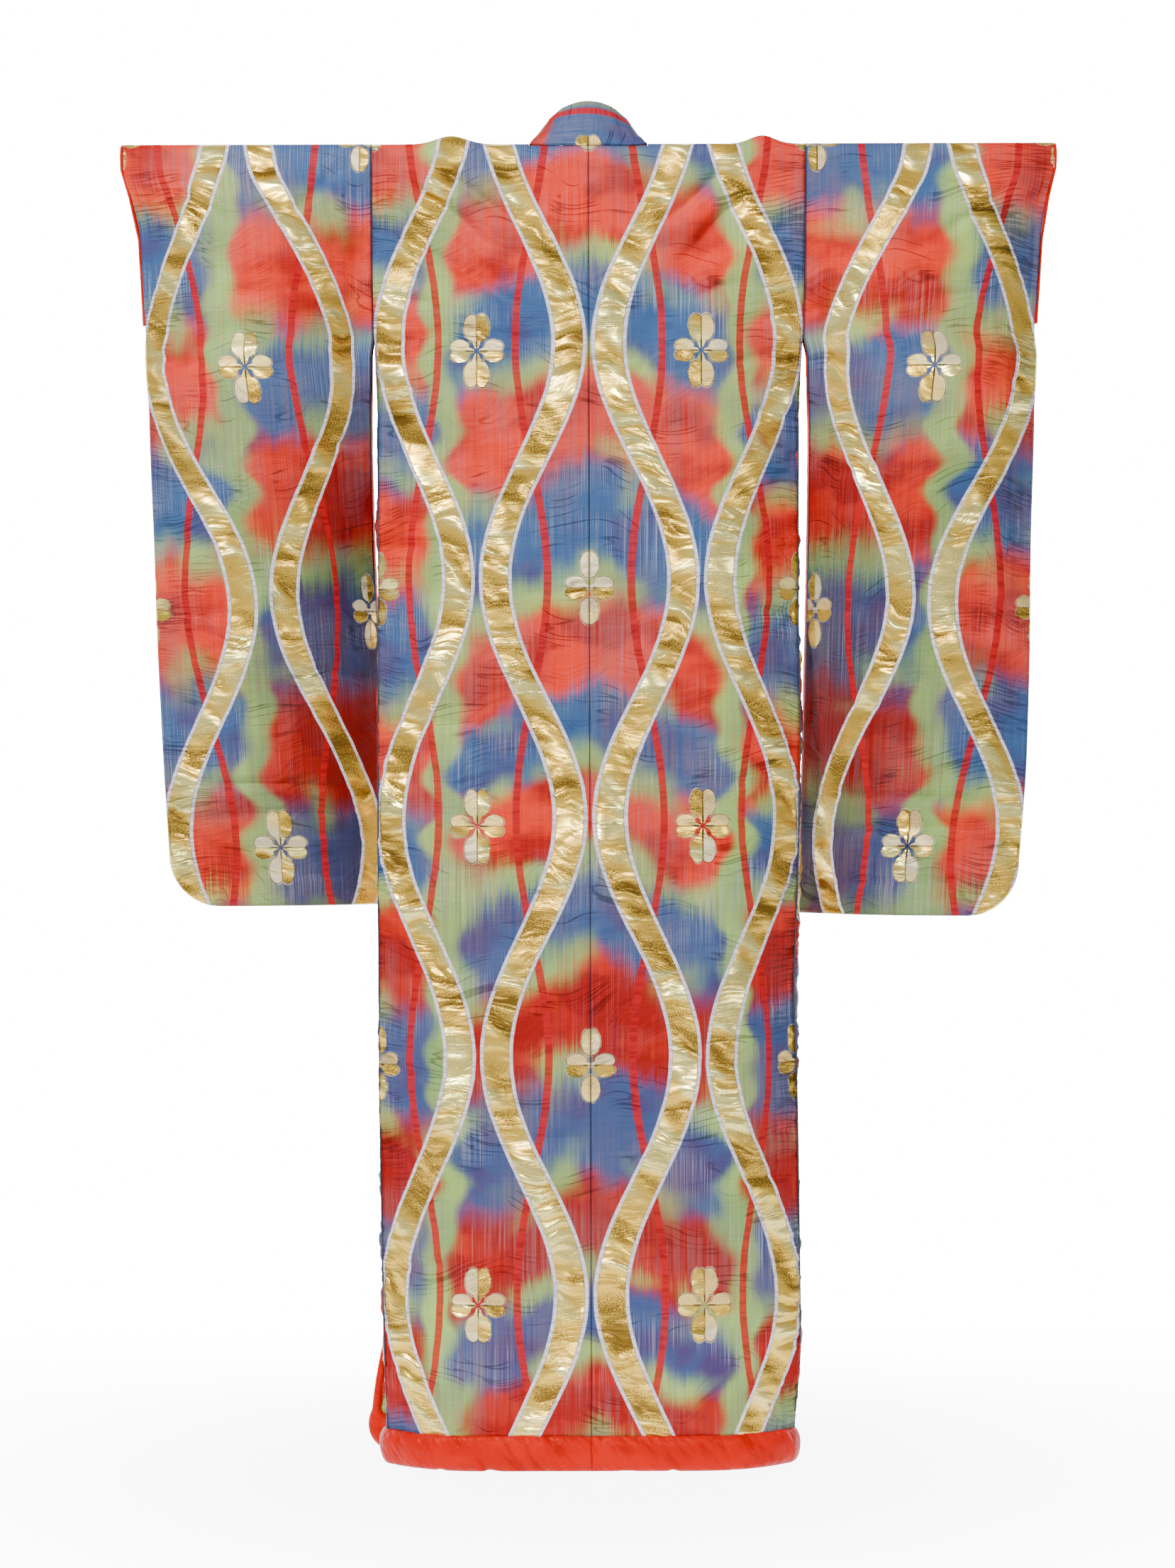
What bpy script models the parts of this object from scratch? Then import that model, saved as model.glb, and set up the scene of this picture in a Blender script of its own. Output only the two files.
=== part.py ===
"""Uchikake: a full-length padded wedding kimono that hangs on a plain wooden rod through its sleeves.

The frame: metres, +Z up, the origin at the middle of the rod, the garment's back towards -Y and its
wearer's left towards -X. Each cloth piece starts as its flat pattern, a grid whose columns and rows are
distances along the cloth. The pattern is laid over the rod and hung, and Solidify gives it its wall.

At a given height a hanging piece is a path in plan. A path is walked from its start in small steps, and a
heading says which way it runs: 0 outward from the centre, 90 degrees away from the back, 180 inward. So
the cloth keeps its width whatever it is folded to.
"""

import math
from collections import namedtuple
from functools import lru_cache

import bmesh
import bpy

# ---- Driving sizes, in metres

ROD_RADIUS = 0.014
ROD_LENGTH = 1.300
DRAPE_RADIUS = 0.017  # the cloth's middle surface where it lies over the rod
DRAPE = DRAPE_RADIUS * math.pi / 2  # cloth from the shoulder line to the rod's side

WALL = 0.0024  # outer cloth, wadding and lining together
COLLAR_WALL = 0.0030
SEAM_GAP = 0.0003
BENT_SEAM_GAP = 0.0008  # where two pieces meet at an angle, so that their corners stay clear
COLLAR_GAP = 0.0020  # the same for the collar's thicker band

BACK_HALF = 0.310  # one back panel, centre seam to side seam
NECK_HALF = 0.085
FRONT_WIDTH = BACK_HALF - NECK_HALF
OVERLAP_WIDTH = 0.150  # the okumi, sewn to the front edge
OVERLAP_TOP = -0.255
OVERLAP_CORNER = 0.015  # its rounded lower corner
COLLAR_WIDTH = 0.075
HEM_SEAM = -1.8295
ARMHOLE = -0.255
SIDE_SEAM_TOP = -0.400  # the open stretch under the armhole ends here
SEWN_ROWS = 18
SEWN_STEP = (HEM_SEAM + OVERLAP_CORNER - SIDE_SEAM_TOP) / SEWN_ROWS
COLLAR_END = SIDE_SEAM_TOP + 5 * SEWN_STEP
NECK_ANGLE = math.radians(-42)  # the back neckline's place on the drape

SLEEVE_WIDTH = 0.356
CUFF = ARMHOLE  # the cuff opens from the shoulder line to here
SLEEVE_CORNER = 0.070
SLEEVE_EDGE = 0.005  # half the depth of the sleeve's sewn edges
SLEEVE_BOTTOM = {-1: -1.077, 1: -1.092}

HEM_ROLL_HEIGHT = 0.050
HEM_ROLL_DEPTH = 0.028
HEM_ROLL_INSET = 0.004  # how far its middle lies behind the cloth above it
FRONT_ROLL = 0.014  # the padded roll where it turns up the front edge
FRONT_ROLL_ROWS = 4  # how many rows up the front edge it ends
FRONT_ROLL_TIP = 0.0025
CUFF_ROLL_RADIUS = 0.0022

LAPEL_TURN = 0.090  # cloth in the half turn of an opened front edge
PATH_STEP = 0.0025
PATH_LENGTH = 0.480

LEFT, RIGHT = -1, 1
SIDE_NAMES = {LEFT: "left", RIGHT: "right"}

# ---- Sections, one row for each height

# depth of the centre seam, and the turn of the back panel's side, in degrees
Back = namedtuple("Back", "z centre_y turn_left turn_right")
BACK = [
    Back(0.00, -0.017, 0, 0),
    Back(-0.12, -0.018, 3, 4),
    Back(-0.26, -0.021, 12, 16),
    Back(-0.40, -0.027, 24, 29),
    Back(-0.65, -0.035, 26, 31),
    Back(-0.80, -0.039, 24, 28),
    Back(-1.00, -0.044, 24, 33),
    Back(-1.20, -0.049, 26, 42),
    Back(-1.32, -0.052, 27, 38),
    Back(-1.50, -0.056, 31, 35),
    Back(-1.70, -0.060, 36, 33),
    Back(-1.84, -0.065, 42, 45),
]

# gap between back and front at the side, the front's heading there in degrees, and how far along the cloth
# its edge is turned back like a lapel
Front = namedtuple("Front", "z side_gap start_left start_right lapel_left lapel_right")
FRONT = [
    Front(0.00, 0.034, 180, 180, 0.310, 0.310),
    Front(-0.12, 0.036, 176, 176, 0.300, 0.300),
    Front(-0.26, 0.036, 165, 165, 0.280, 0.280),
    Front(-0.40, 0.000, 120, 120, 0.262, 0.262),
    Front(-0.52, 0.000, 72, 110, 0.258, 0.258),
    Front(-0.68, 0.000, 110, 92, 0.252, 0.252),
    Front(-0.82, 0.000, 115, 72, 0.245, 0.245),
    Front(-1.20, 0.000, 112, 68, 0.222, 0.226),
    Front(-1.42, 0.000, 108, 104, 0.200, 0.206),
    Front(-1.70, 0.000, 84, 98, 0.163, 0.180),
    Front(-1.84, 0.000, 76, 90, 0.155, 0.170),
]
FRONT_EASE = 0.085  # cloth over which the front comes round to run inward

# the sleeve's inner edge in plan, half the gap between its layers, and how far its ends turn, in degrees
Sleeve = namedtuple("Sleeve", "z inner_x inner_y half_gap turn_in turn_out")
SLEEVES = {
    LEFT: [
        Sleeve(0.00, 0.3108, 0.000, 0.0170, 0, 0),
        Sleeve(-0.02, 0.3108, 0.000, 0.0170, 4, 4),
        Sleeve(-0.06, 0.3108, 0.000, 0.0170, 24, 22),
        Sleeve(-0.12, 0.3108, 0.000, 0.0170, 34, 32),
        Sleeve(-0.26, 0.3112, 0.000, 0.0160, 40, 34),
        Sleeve(-0.42, 0.3140, 0.016, 0.0140, 47, 32),
        Sleeve(-0.60, 0.3110, 0.050, 0.0120, 52, 24),
        Sleeve(-0.85, 0.2960, 0.094, 0.0110, 48, 12),
        Sleeve(-1.10, 0.2740, 0.116, 0.0100, 38, 6),
    ],
    RIGHT: [
        Sleeve(0.00, 0.3108, 0.000, 0.0170, 0, 0),
        Sleeve(-0.02, 0.3108, 0.000, 0.0170, 4, 4),
        Sleeve(-0.06, 0.3108, 0.000, 0.0170, 22, 20),
        Sleeve(-0.12, 0.3108, 0.000, 0.0170, 30, 28),
        Sleeve(-0.26, 0.3120, 0.000, 0.0160, 38, 30),
        Sleeve(-0.42, 0.3170, 0.014, 0.0140, 46, 28),
        Sleeve(-0.60, 0.3160, 0.044, 0.0120, 50, 22),
        Sleeve(-0.85, 0.3120, 0.088, 0.0110, 50, 8),
        Sleeve(-1.10, 0.3080, 0.120, 0.0100, 54, 0),
    ],
}
SEAM_HOLD = 0.040  # cloth beside the armhole seam that stays in line with the body

# the neck end of the collar: its seam edge and free edge, from the centre back to the front
Neck = namedtuple("Neck", "seam_x seam_y seam_z free_x free_y free_z")
NECK = [
    Neck(0.0000, -0.0117, 0.0140, 0.0000, -0.0060, 0.0785),
    Neck(0.0300, -0.0117, 0.0140, 0.0230, -0.0045, 0.0750),
    Neck(0.0580, -0.0115, 0.0142, 0.0430, 0.0040, 0.0660),
    Neck(0.0770, -0.0100, 0.0156, 0.0585, 0.0170, 0.0530),
    Neck(0.0835, -0.0030, 0.0172, 0.0660, 0.0300, 0.0430),
    Neck(0.0836, 0.0090, 0.0152, 0.0610, 0.0420, 0.0270),
    Neck(0.0836, 0.0160, 0.0075, 0.0510, 0.0460, 0.0080),
]
COLLAR_FIRST_HUNG = -0.004
NECK_OPEN = (0.038, 0.028)  # how far the free edge stands out, and forward, of the fronts at the rod
NECK_CLOSES = 0.170  # the height over which it comes back to them

# soft creases of the back: middle, run in degrees from upright, half length, half width and depth
Crease = namedtuple("Crease", "x z run length width depth")
BACK_CREASES = [
    Crease(0.205, -0.095, 50, 0.110, 0.020, 0.0050),
    Crease(0.165, -0.150, 42, 0.130, 0.022, 0.0060),
    Crease(0.120, -0.215, 35, 0.110, 0.020, 0.0040),
    Crease(0.235, -0.300, 62, 0.070, 0.024, 0.0035),
    Crease(0.150, -1.120, 84, 0.120, 0.024, 0.0030),
    Crease(0.190, -1.560, 80, 0.100, 0.024, 0.0030),
]
SLEEVE_CREASES = [
    Crease(0.180, -0.180, 60, 0.100, 0.022, 0.0040),
    Crease(0.150, -0.930, 88, 0.140, 0.020, 0.0035),
    Crease(0.220, -1.015, 84, 0.110, 0.018, 0.0030),
]
SHOULDER_LIFT = {LEFT: (0.197, 0.030, 0.012), RIGHT: (0.250, 0.024, 0.012)}  # middle, half width, height

# ---- Colours: red, green, blue, and then roughness and metallic

WOVEN_SILK = ((0.62, 0.20, 0.16), 0.55, 0.0)
BLUE_SILK = ((0.16, 0.24, 0.42), 0.55, 0.0)
RED_SATIN = ((0.75, 0.06, 0.03), 0.35, 0.0)
PALE_WOOD = ((0.62, 0.45, 0.28), 0.55, 0.0)


# ---- Curves and paths


def ease(t):
    """0 before 0, 1 after 1, and a smooth step between."""
    t = min(max(t, 0.0), 1.0)
    return t * t * (3 - 2 * t)


def read(rows, z, column):
    """A column's value at height z: a smooth curve through the rows, held level past both ends."""
    heights = [row.z for row in rows]
    values = [getattr(row, column) for row in rows]
    if z >= heights[0]:
        return values[0]
    if z <= heights[-1]:
        return values[-1]
    i = next(k for k in range(len(rows) - 1) if z >= heights[k + 1])

    def slope(k):
        if k in (0, len(rows) - 1):
            return 0.0
        before = (values[k] - values[k - 1]) / (heights[k] - heights[k - 1])
        after = (values[k + 1] - values[k]) / (heights[k + 1] - heights[k])
        return 0.0 if before * after <= 0 else 2 * before * after / (before + after)

    span = heights[i + 1] - heights[i]
    t = (z - heights[i]) / span
    return (
        values[i] * (1 + 2 * t) * (1 - t) ** 2
        + values[i + 1] * (3 - 2 * t) * t * t
        + span * slope(i) * t * (1 - t) ** 2
        - span * slope(i + 1) * (1 - t) * t * t
    )


def steps(start, end, count):
    """count equal steps from start, without the end itself."""
    return [start + (end - start) * k / count for k in range(count)]


class Path:
    """A walked plan path. Points and headings are read by distance along the cloth."""

    def __init__(self, x, y, heading):
        self.points = [(x, y)]
        self.heading = heading
        for k in range(round(PATH_LENGTH / PATH_STEP)):
            angle = heading((k + 0.5) * PATH_STEP)
            x += PATH_STEP * math.cos(angle)
            y += PATH_STEP * math.sin(angle)
            self.points.append((x, y))

    def at(self, distance):
        place = min(max(distance / PATH_STEP, 0.0), len(self.points) - 1.001)
        k = int(place)
        t = place - k
        (ax, ay), (bx, by) = self.points[k], self.points[k + 1]
        return ax + (bx - ax) * t, ay + (by - ay) * t

    def beside(self, distance, offset):
        """The point that lies offset to the path's outer side."""
        x, y = self.at(distance)
        angle = self.heading(distance)
        return x + offset * math.sin(angle), y - offset * math.cos(angle)


def named(side, stem):
    return f"{stem}_{SIDE_NAMES[side]}"


@lru_cache(maxsize=None)
def back_path(side, z):
    """From the centre seam to the side seam."""
    turn = math.radians(read(BACK, z, named(side, "turn")))

    def heading(w):
        return turn * ease((w / BACK_HALF - 0.42) / 0.58)

    return Path(SEAM_GAP / 2, read(BACK, z, "centre_y"), heading)


@lru_cache(maxsize=None)
def front_path(side, z):
    """From the side seam inward, and past the lapel's turn outward again."""
    x, y = back_path(side, z).at(BACK_HALF)
    start = math.radians(read(FRONT, z, named(side, "start")))
    lapel = read(FRONT, z, named(side, "lapel"))

    def heading(w):
        inward = start + (math.pi - start) * ease(w / FRONT_EASE)
        return inward - math.pi * ease((w - lapel) / LAPEL_TURN)

    return Path(x, y + read(FRONT, z, "side_gap"), heading)


@lru_cache(maxsize=None)
def sleeve_path(side, z):
    """The line midway between the sleeve's layers, from its inner edge to its outer edge."""
    rows = SLEEVES[side]
    inner = math.radians(read(rows, z, "turn_in"))
    outer = math.radians(read(rows, z, "turn_out"))
    if z >= ARMHOLE:
        x, back_y = back_path(side, z).at(BACK_HALF)
        x += BENT_SEAM_GAP
        y = back_y + read(FRONT, z, "side_gap") / 2
    else:
        x, y = read(rows, z, "inner_x"), read(rows, z, "inner_y")

    held = ease((z - ARMHOLE) / 0.12 + 1)

    def heading(w):
        free = 1 - held * (1 - ease(w / SEAM_HOLD))
        return free * ((inner + outer) * ease(w / SLEEVE_WIDTH) - inner)

    return Path(x, y, heading)


def crease_depth(creases, x, z):
    """How far the creases press the cloth in at a place on it."""
    depth = 0.0
    for crease in creases:
        run = math.radians(crease.run)
        dx, dz = x - crease.x, z - crease.z
        along = (dx * math.sin(run) + dz * math.cos(run)) / crease.length
        across = (dx * math.cos(run) - dz * math.sin(run)) / crease.width
        depth += crease.depth * math.exp(-along * along - across * across)
    return depth


# ---- Patterns and meshes


def collection(name):
    made = bpy.data.collections.new(name)
    bpy.context.scene.collection.children.link(made)
    return made


def finish(name, colour, roughness, metallic):
    """A plain material."""
    material = bpy.data.materials.new(name)
    material.use_nodes = True
    shader = material.node_tree.nodes["Principled BSDF"]
    shader.inputs["Base Color"].default_value = (*colour, 1)
    shader.inputs["Roughness"].default_value = roughness
    shader.inputs["Metallic"].default_value = metallic
    return material


def add_object(garment, name, data, look):
    """Puts a mesh or curve in the garment's collection, with its own material."""
    made = bpy.data.objects.new(name, data)
    data.materials.append(finish(f"{name}_finish", *look))
    garment.objects.link(made)
    return made


def pattern(columns, rows, place, keep=None, closed=False):
    """A grid whose lines stand at the given columns and rows, cut by keep and moved to place's points."""
    flat = bmesh.new()
    bmesh.ops.create_grid(flat, x_segments=len(columns) - 1, y_segments=len(rows) - 1, size=1)
    spots = {}
    for vertex in flat.verts:
        column = round((vertex.co.x + 1) / 2 * (len(columns) - 1))
        row = round((vertex.co.y + 1) / 2 * (len(rows) - 1))
        spots[vertex] = columns[column], rows[row]
        vertex.co.xy = spots[vertex]
    if keep:
        cut = [face for face in flat.faces if not keep(*face.calc_center_median().xy)]
        bmesh.ops.delete(flat, geom=cut, context="FACES")
    for vertex in flat.verts:
        vertex.co = place(*spots[vertex])
    bmesh.ops.remove_doubles(flat, verts=flat.verts, dist=1e-5)
    if closed:
        bmesh.ops.holes_fill(flat, edges=flat.edges)
    bmesh.ops.recalc_face_normals(flat, faces=flat.faces)
    return flat


def to_mesh(flat, name):
    mesh = bpy.data.meshes.new(name)
    flat.to_mesh(mesh)
    flat.free()
    mesh.shade_smooth()
    return mesh


def cloth(garment, name, flat, look, wall=WALL):
    """A wall of cloth on both sides of the pattern."""
    made = add_object(garment, name, to_mesh(flat, name), look)
    solid = made.modifiers.new("Wall", "SOLIDIFY")
    solid.thickness = wall
    solid.offset = 0
    solid.use_even_offset = True
    return made


def both_ways(levels):
    """Rows from the back's lowest level, over the rod, to the front's lowest: cloth from the shoulder line."""
    hung = [DRAPE - level for level in levels]
    over = [NECK_ANGLE * DRAPE_RADIUS, 0.0, DRAPE / 2]
    return [-length for length in reversed(hung)] + over + hung


# ---- The pieces

SHOULDER_LEVELS = [0.0, -0.05, -0.11, -0.18, ARMHOLE]
SEWN_LEVELS = [-0.29, -0.34, *(SIDE_SEAM_TOP + SEWN_STEP * k for k in range(SEWN_ROWS + 1))]
BODY_LEVELS = [*SHOULDER_LEVELS, *SEWN_LEVELS, HEM_SEAM]
BODY_COLUMNS = [0.0, 0.045, NECK_HALF, 0.091, 0.108, 0.130, 0.152, 0.174, 0.198, 0.230, 0.262, 0.288, BACK_HALF]


def shoulder_lift(side, x):
    middle, half, height = SHOULDER_LIFT[side]
    return height * math.exp(-(((x - middle) / half) ** 2))


def place_body(side, w, length):
    """w runs from the centre seam to the side seam, length from the shoulder line, below zero on the back."""
    if abs(length) < DRAPE:
        angle = length / DRAPE_RADIUS
        lift = shoulder_lift(side, w) * math.cos(angle)
        x = w + SEAM_GAP / 2
        return side * x, DRAPE_RADIUS * math.sin(angle), DRAPE_RADIUS * math.cos(angle) + lift
    z = DRAPE - abs(length)
    if length > 0:
        x, y = front_path(side, z).at(BACK_HALF - w)
        return side * x, y, z
    x, y = back_path(side, z).at(w)
    inside = ease(w / 0.04) * ease((BACK_HALF - w) / 0.05)
    return side * x, y + inside * crease_depth(BACK_CREASES, w, z), z


def body_panel(garment, side):
    """One length of cloth from the back hem over the shoulder to the front hem, sewn up its side."""
    neckline = NECK_ANGLE * DRAPE_RADIUS
    flat = pattern(
        BODY_COLUMNS,
        both_ways(BODY_LEVELS),
        lambda w, length: place_body(side, w, length),
        keep=lambda w, length: w > NECK_HALF or length < neckline,
    )
    return cloth(garment, f"body_{SIDE_NAMES[side]}", flat, WOVEN_SILK)


def front_edge(z):
    """Cloth from the side seam to the edge that the collar, and below it the padded roll, is sewn to."""
    slant = (OVERLAP_TOP - z) / (OVERLAP_TOP - COLLAR_END)
    return FRONT_WIDTH + OVERLAP_WIDTH * min(max(slant, 0.0), 1.0)


def corner_inset(z, low, radius):
    """How far a rounded lower corner keeps a piece's edge in at height z."""
    rise = radius - (z - low)
    return radius - math.sqrt(max(radius * radius - max(rise, 0.0) ** 2, 0.0))


OVERLAP_LEVELS = [*SEWN_LEVELS, HEM_SEAM + 0.35 * OVERLAP_CORNER, HEM_SEAM]
OVERLAP_COLUMNS = [0.0, 0.04, 0.22, 0.42, 0.62, 0.82, 0.96, 1.0]


def okumi(garment, side):
    """The overlap: a narrow panel on the front edge, pointed where it starts under the collar."""

    def place(share, z):
        edge = front_edge(z) - corner_inset(z, HEM_SEAM, OVERLAP_CORNER)
        start = FRONT_WIDTH + BENT_SEAM_GAP
        x, y = front_path(side, z).at(start + share * (edge - start))
        return side * x, y, z

    flat = pattern(OVERLAP_COLUMNS, OVERLAP_LEVELS, place)
    return cloth(garment, f"okumi_{SIDE_NAMES[side]}", flat, BLUE_SILK)


COLLAR_LEVELS = [COLLAR_FIRST_HUNG, *SHOULDER_LEVELS[1:], *SEWN_LEVELS[: SEWN_LEVELS.index(COLLAR_END) + 1]]
COLLAR_COLUMNS = [0.0, 0.08, 0.36, 0.68, 1.0]


def collar(garment):
    """The band that stands behind the neck and runs down both front edges."""
    stations = len(NECK) + len(COLLAR_LEVELS)

    def place(share, station):
        side = LEFT if station < 0 else RIGHT
        k = round(abs(station))
        if k < len(NECK):
            row = NECK[k]
            x = row.seam_x + (row.free_x - row.seam_x) * share
            y = row.seam_y + (row.free_y - row.seam_y) * share
            return side * x, y, row.seam_z + (row.free_z - row.seam_z) * share
        z = COLLAR_LEVELS[k - len(NECK)]
        x, y = front_path(side, z).at(front_edge(z) + COLLAR_GAP + share * COLLAR_WIDTH)
        stand = share * (1 - ease(-z / NECK_CLOSES))
        return side * (x + stand * NECK_OPEN[0]), y + stand * NECK_OPEN[1], z

    rows = list(range(1 - stations, stations))
    return cloth(garment, "collar", pattern(COLLAR_COLUMNS, rows, place), WOVEN_SILK, COLLAR_WALL)


def sleeve_levels(side):
    bottom = SLEEVE_BOTTOM[side]
    corner = bottom + SLEEVE_CORNER
    rounding = [corner - SLEEVE_CORNER * share for share in (0.38, 0.70)]
    edge = [bottom + SLEEVE_EDGE, bottom + 0.3 * SLEEVE_EDGE, bottom]
    return [0.0, -0.02, -0.06, -0.12, -0.19, *steps(CUFF, corner, 9), corner, *rounding, *edge]


SLEEVE_COLUMNS = [0.0, 0.008, 0.055, 0.105, 0.155, 0.205, 0.255, 0.303, 0.334]
SLEEVE_COLUMNS += [SLEEVE_WIDTH - SLEEVE_EDGE, SLEEVE_WIDTH - 0.3 * SLEEVE_EDGE, SLEEVE_WIDTH]


def sewn_depth(distance):
    """The rounded edge where two layers are sewn together: 0 at the seam, 1 from SLEEVE_EDGE in."""
    t = min(max(distance / SLEEVE_EDGE, 0.0), 1.0)
    return math.sqrt(t * (2 - t))


def sleeve_half_gap(side, w, z):
    """Half the gap between the sleeve's layers, measured straight away from the back."""
    if z >= ARMHOLE:
        return read(FRONT, z, "side_gap") / 2
    above = z - SLEEVE_BOTTOM[side]
    from_edge = SLEEVE_WIDTH - corner_inset(z, SLEEVE_BOTTOM[side], SLEEVE_CORNER) - w
    from_seam = min(above, from_edge)
    if above < SLEEVE_CORNER and w > SLEEVE_WIDTH - SLEEVE_CORNER:
        from_middle = math.hypot(w - SLEEVE_WIDTH + SLEEVE_CORNER, SLEEVE_CORNER - above)
        from_seam = min(from_seam, max(SLEEVE_CORNER - from_middle, 0.0))
    open_gap = read(SLEEVES[side], z, "half_gap") - SLEEVE_EDGE
    half = SLEEVE_EDGE + open_gap * ease(above / 0.20) * ease(from_edge / 0.06)
    lean = 1 / math.cos(sleeve_path(side, z).heading(w)) - 1
    return half * sewn_depth(from_seam) * (1 + lean * ease((CUFF - z) / 0.20))


def place_sleeve(side, w, length):
    """w runs from the armhole to the cuff, length from the shoulder line, below zero on the back."""
    if abs(length) < DRAPE:
        angle = length / DRAPE_RADIUS
        x = back_path(side, 0.0).at(BACK_HALF)[0] + BENT_SEAM_GAP + w
        return side * x, DRAPE_RADIUS * math.sin(angle), DRAPE_RADIUS * math.cos(angle)
    z = DRAPE - abs(length)
    inset = corner_inset(z, SLEEVE_BOTTOM[side], SLEEVE_CORNER)
    w = w * (1 - inset / SLEEVE_WIDTH) if w < SLEEVE_COLUMNS[-3] else w - inset
    x, y = sleeve_path(side, z).at(w)
    inside = ease(w / 0.05) * ease((SLEEVE_WIDTH - inset - w) / 0.05) * ease((z - SLEEVE_BOTTOM[side]) / 0.06)
    half = sleeve_half_gap(side, w, z) - 0.5 * inside * crease_depth(SLEEVE_CREASES, w, z)
    return side * x, y + math.copysign(half, length), z


def sleeve(garment, side):
    """One length of cloth folded at the shoulder, sewn along its bottom and its outer edge below the cuff."""
    rows = both_ways(sleeve_levels(side))
    flat = pattern(SLEEVE_COLUMNS, rows, lambda w, length: place_sleeve(side, w, length))
    return cloth(garment, f"sleeve_{SIDE_NAMES[side]}", flat, WOVEN_SILK)


def cuff_roll(garment, side):
    """The edge of the red lining, rolled out along the cuff."""
    levels = [0.0, -0.02, -0.06, -0.12, -0.19, CUFF + 0.012]
    line = bpy.data.curves.new(f"cuff_roll_{SIDE_NAMES[side]}", "CURVE")
    line.dimensions = "3D"
    line.bevel_depth = CUFF_ROLL_RADIUS
    line.bevel_resolution = 1
    line.use_fill_caps = True
    spline = line.splines.new("POLY")
    lengths = both_ways(levels)
    spline.points.add(len(lengths) - 1)
    for point, length in zip(spline.points, lengths):
        point.co = (*place_sleeve(side, SLEEVE_WIDTH + CUFF_ROLL_RADIUS + BENT_SEAM_GAP, length), 1)
    return add_object(garment, f"cuff_roll_{SIDE_NAMES[side]}", line, RED_SATIN)


# the padded roll's stations: which path it follows, then its inner and outer edge as (distance, height)
Station = namedtuple("Station", "path inner outer depth inset")


def hem_stations():
    """Round the hem from the centre seam to the front edge, round its corner and up the edge to a point."""
    top = HEM_SEAM - SEAM_GAP
    low = top - HEM_ROLL_HEIGHT
    stations = []
    for w in [SEAM_GAP / 2, *steps(0.035, BACK_HALF - 0.012, 8), BACK_HALF - 0.012]:
        stations.append(Station("back", (w, top), (w, low), HEM_ROLL_DEPTH, HEM_ROLL_INSET))
    width = FRONT_WIDTH + OVERLAP_WIDTH
    turn = width - OVERLAP_CORNER
    for w in [*steps(0.012, 0.14, 5), *steps(0.14, 0.26, 6), *steps(0.26, turn, 3)]:
        stations.append(Station("front", (w, top), (w, low), HEM_ROLL_DEPTH, HEM_ROLL_INSET))
    corner_z = HEM_SEAM + OVERLAP_CORNER
    inner = OVERLAP_CORNER + BENT_SEAM_GAP
    for k in range(5):
        angle = math.radians(22.5 * k)
        share = k / 4
        size = HEM_ROLL_HEIGHT + (FRONT_ROLL - HEM_ROLL_HEIGHT) * ease(share)
        depth = HEM_ROLL_DEPTH + (FRONT_ROLL - HEM_ROLL_DEPTH) * ease(share)
        ends = []
        for radius in (inner, inner + size):
            ends.append((turn + radius * math.sin(angle), corner_z - radius * math.cos(angle)))
        stations.append(Station("front", *ends, depth, HEM_ROLL_INSET * (1 - share)))
    for row in range(1, FRONT_ROLL_ROWS + 1):
        z = SEWN_LEVELS[-1 - row]
        size = FRONT_ROLL + (FRONT_ROLL_TIP - FRONT_ROLL) * row / FRONT_ROLL_ROWS
        start = width + BENT_SEAM_GAP
        stations.append(Station("front", (start, z), (start + size, z), size, 0.0))
    return stations


ROLL_SIDES = 10


def hem_roll(garment, side):
    """The padded roll of red lining that edges the hem and tapers out up the front edge."""
    stations = hem_stations()

    def place(turn, k):
        station = stations[round(k)]
        angle = 2 * math.pi * (turn % ROLL_SIDES) / ROLL_SIDES
        across = (1 - math.cos(angle)) / 2
        w = station.inner[0] + (station.outer[0] - station.inner[0]) * across
        z = station.inner[1] + (station.outer[1] - station.inner[1]) * across
        plan = back_path if station.path == "back" else front_path
        outward = station.depth / 2 * math.sin(angle) - station.inset
        x, y = plan(side, max(z, HEM_SEAM)).beside(w, outward)
        return side * x, y, z

    columns = list(range(ROLL_SIDES + 1))
    flat = pattern(columns, list(range(len(stations))), place, closed=True)
    name = f"hem_roll_{SIDE_NAMES[side]}"
    return add_object(garment, name, to_mesh(flat, name), RED_SATIN)


def rod(garment):
    """A plain round rod through both sleeves."""
    bpy.ops.mesh.primitive_cylinder_add(vertices=32, radius=ROD_RADIUS, depth=ROD_LENGTH)
    made = bpy.context.object
    made.name = made.data.name = "rod"
    made.rotation_euler.y = math.pi / 2
    made.data.shade_smooth()
    made.data.set_sharp_from_angle(angle=math.radians(40))
    made.data.materials.append(finish("rod_finish", *PALE_WOOD))
    for holder in made.users_collection:
        holder.objects.unlink(made)
    garment.objects.link(made)
    return made


def main():
    for old in list(bpy.data.objects):
        bpy.data.objects.remove(old, do_unlink=True)
    garment = collection("uchikake")
    rod(garment)
    collar(garment)
    for side in (LEFT, RIGHT):
        body_panel(garment, side)
        okumi(garment, side)
        sleeve(garment, side)
        cuff_roll(garment, side)
        hem_roll(garment, side)


main()
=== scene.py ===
"""Dresses the hung uchikake: figured silk over its solids, a padded red hem, piping, rod, floor and light.

Every cloth piece is laid out flat first, in metres, then hung along the same plan paths as its solid, and
gets its folds. Its weave, gold bands, flowers and blurred dye follow from where a point lies on the cloth.
"""

import math
from collections import namedtuple
from functools import lru_cache, partial

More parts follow.
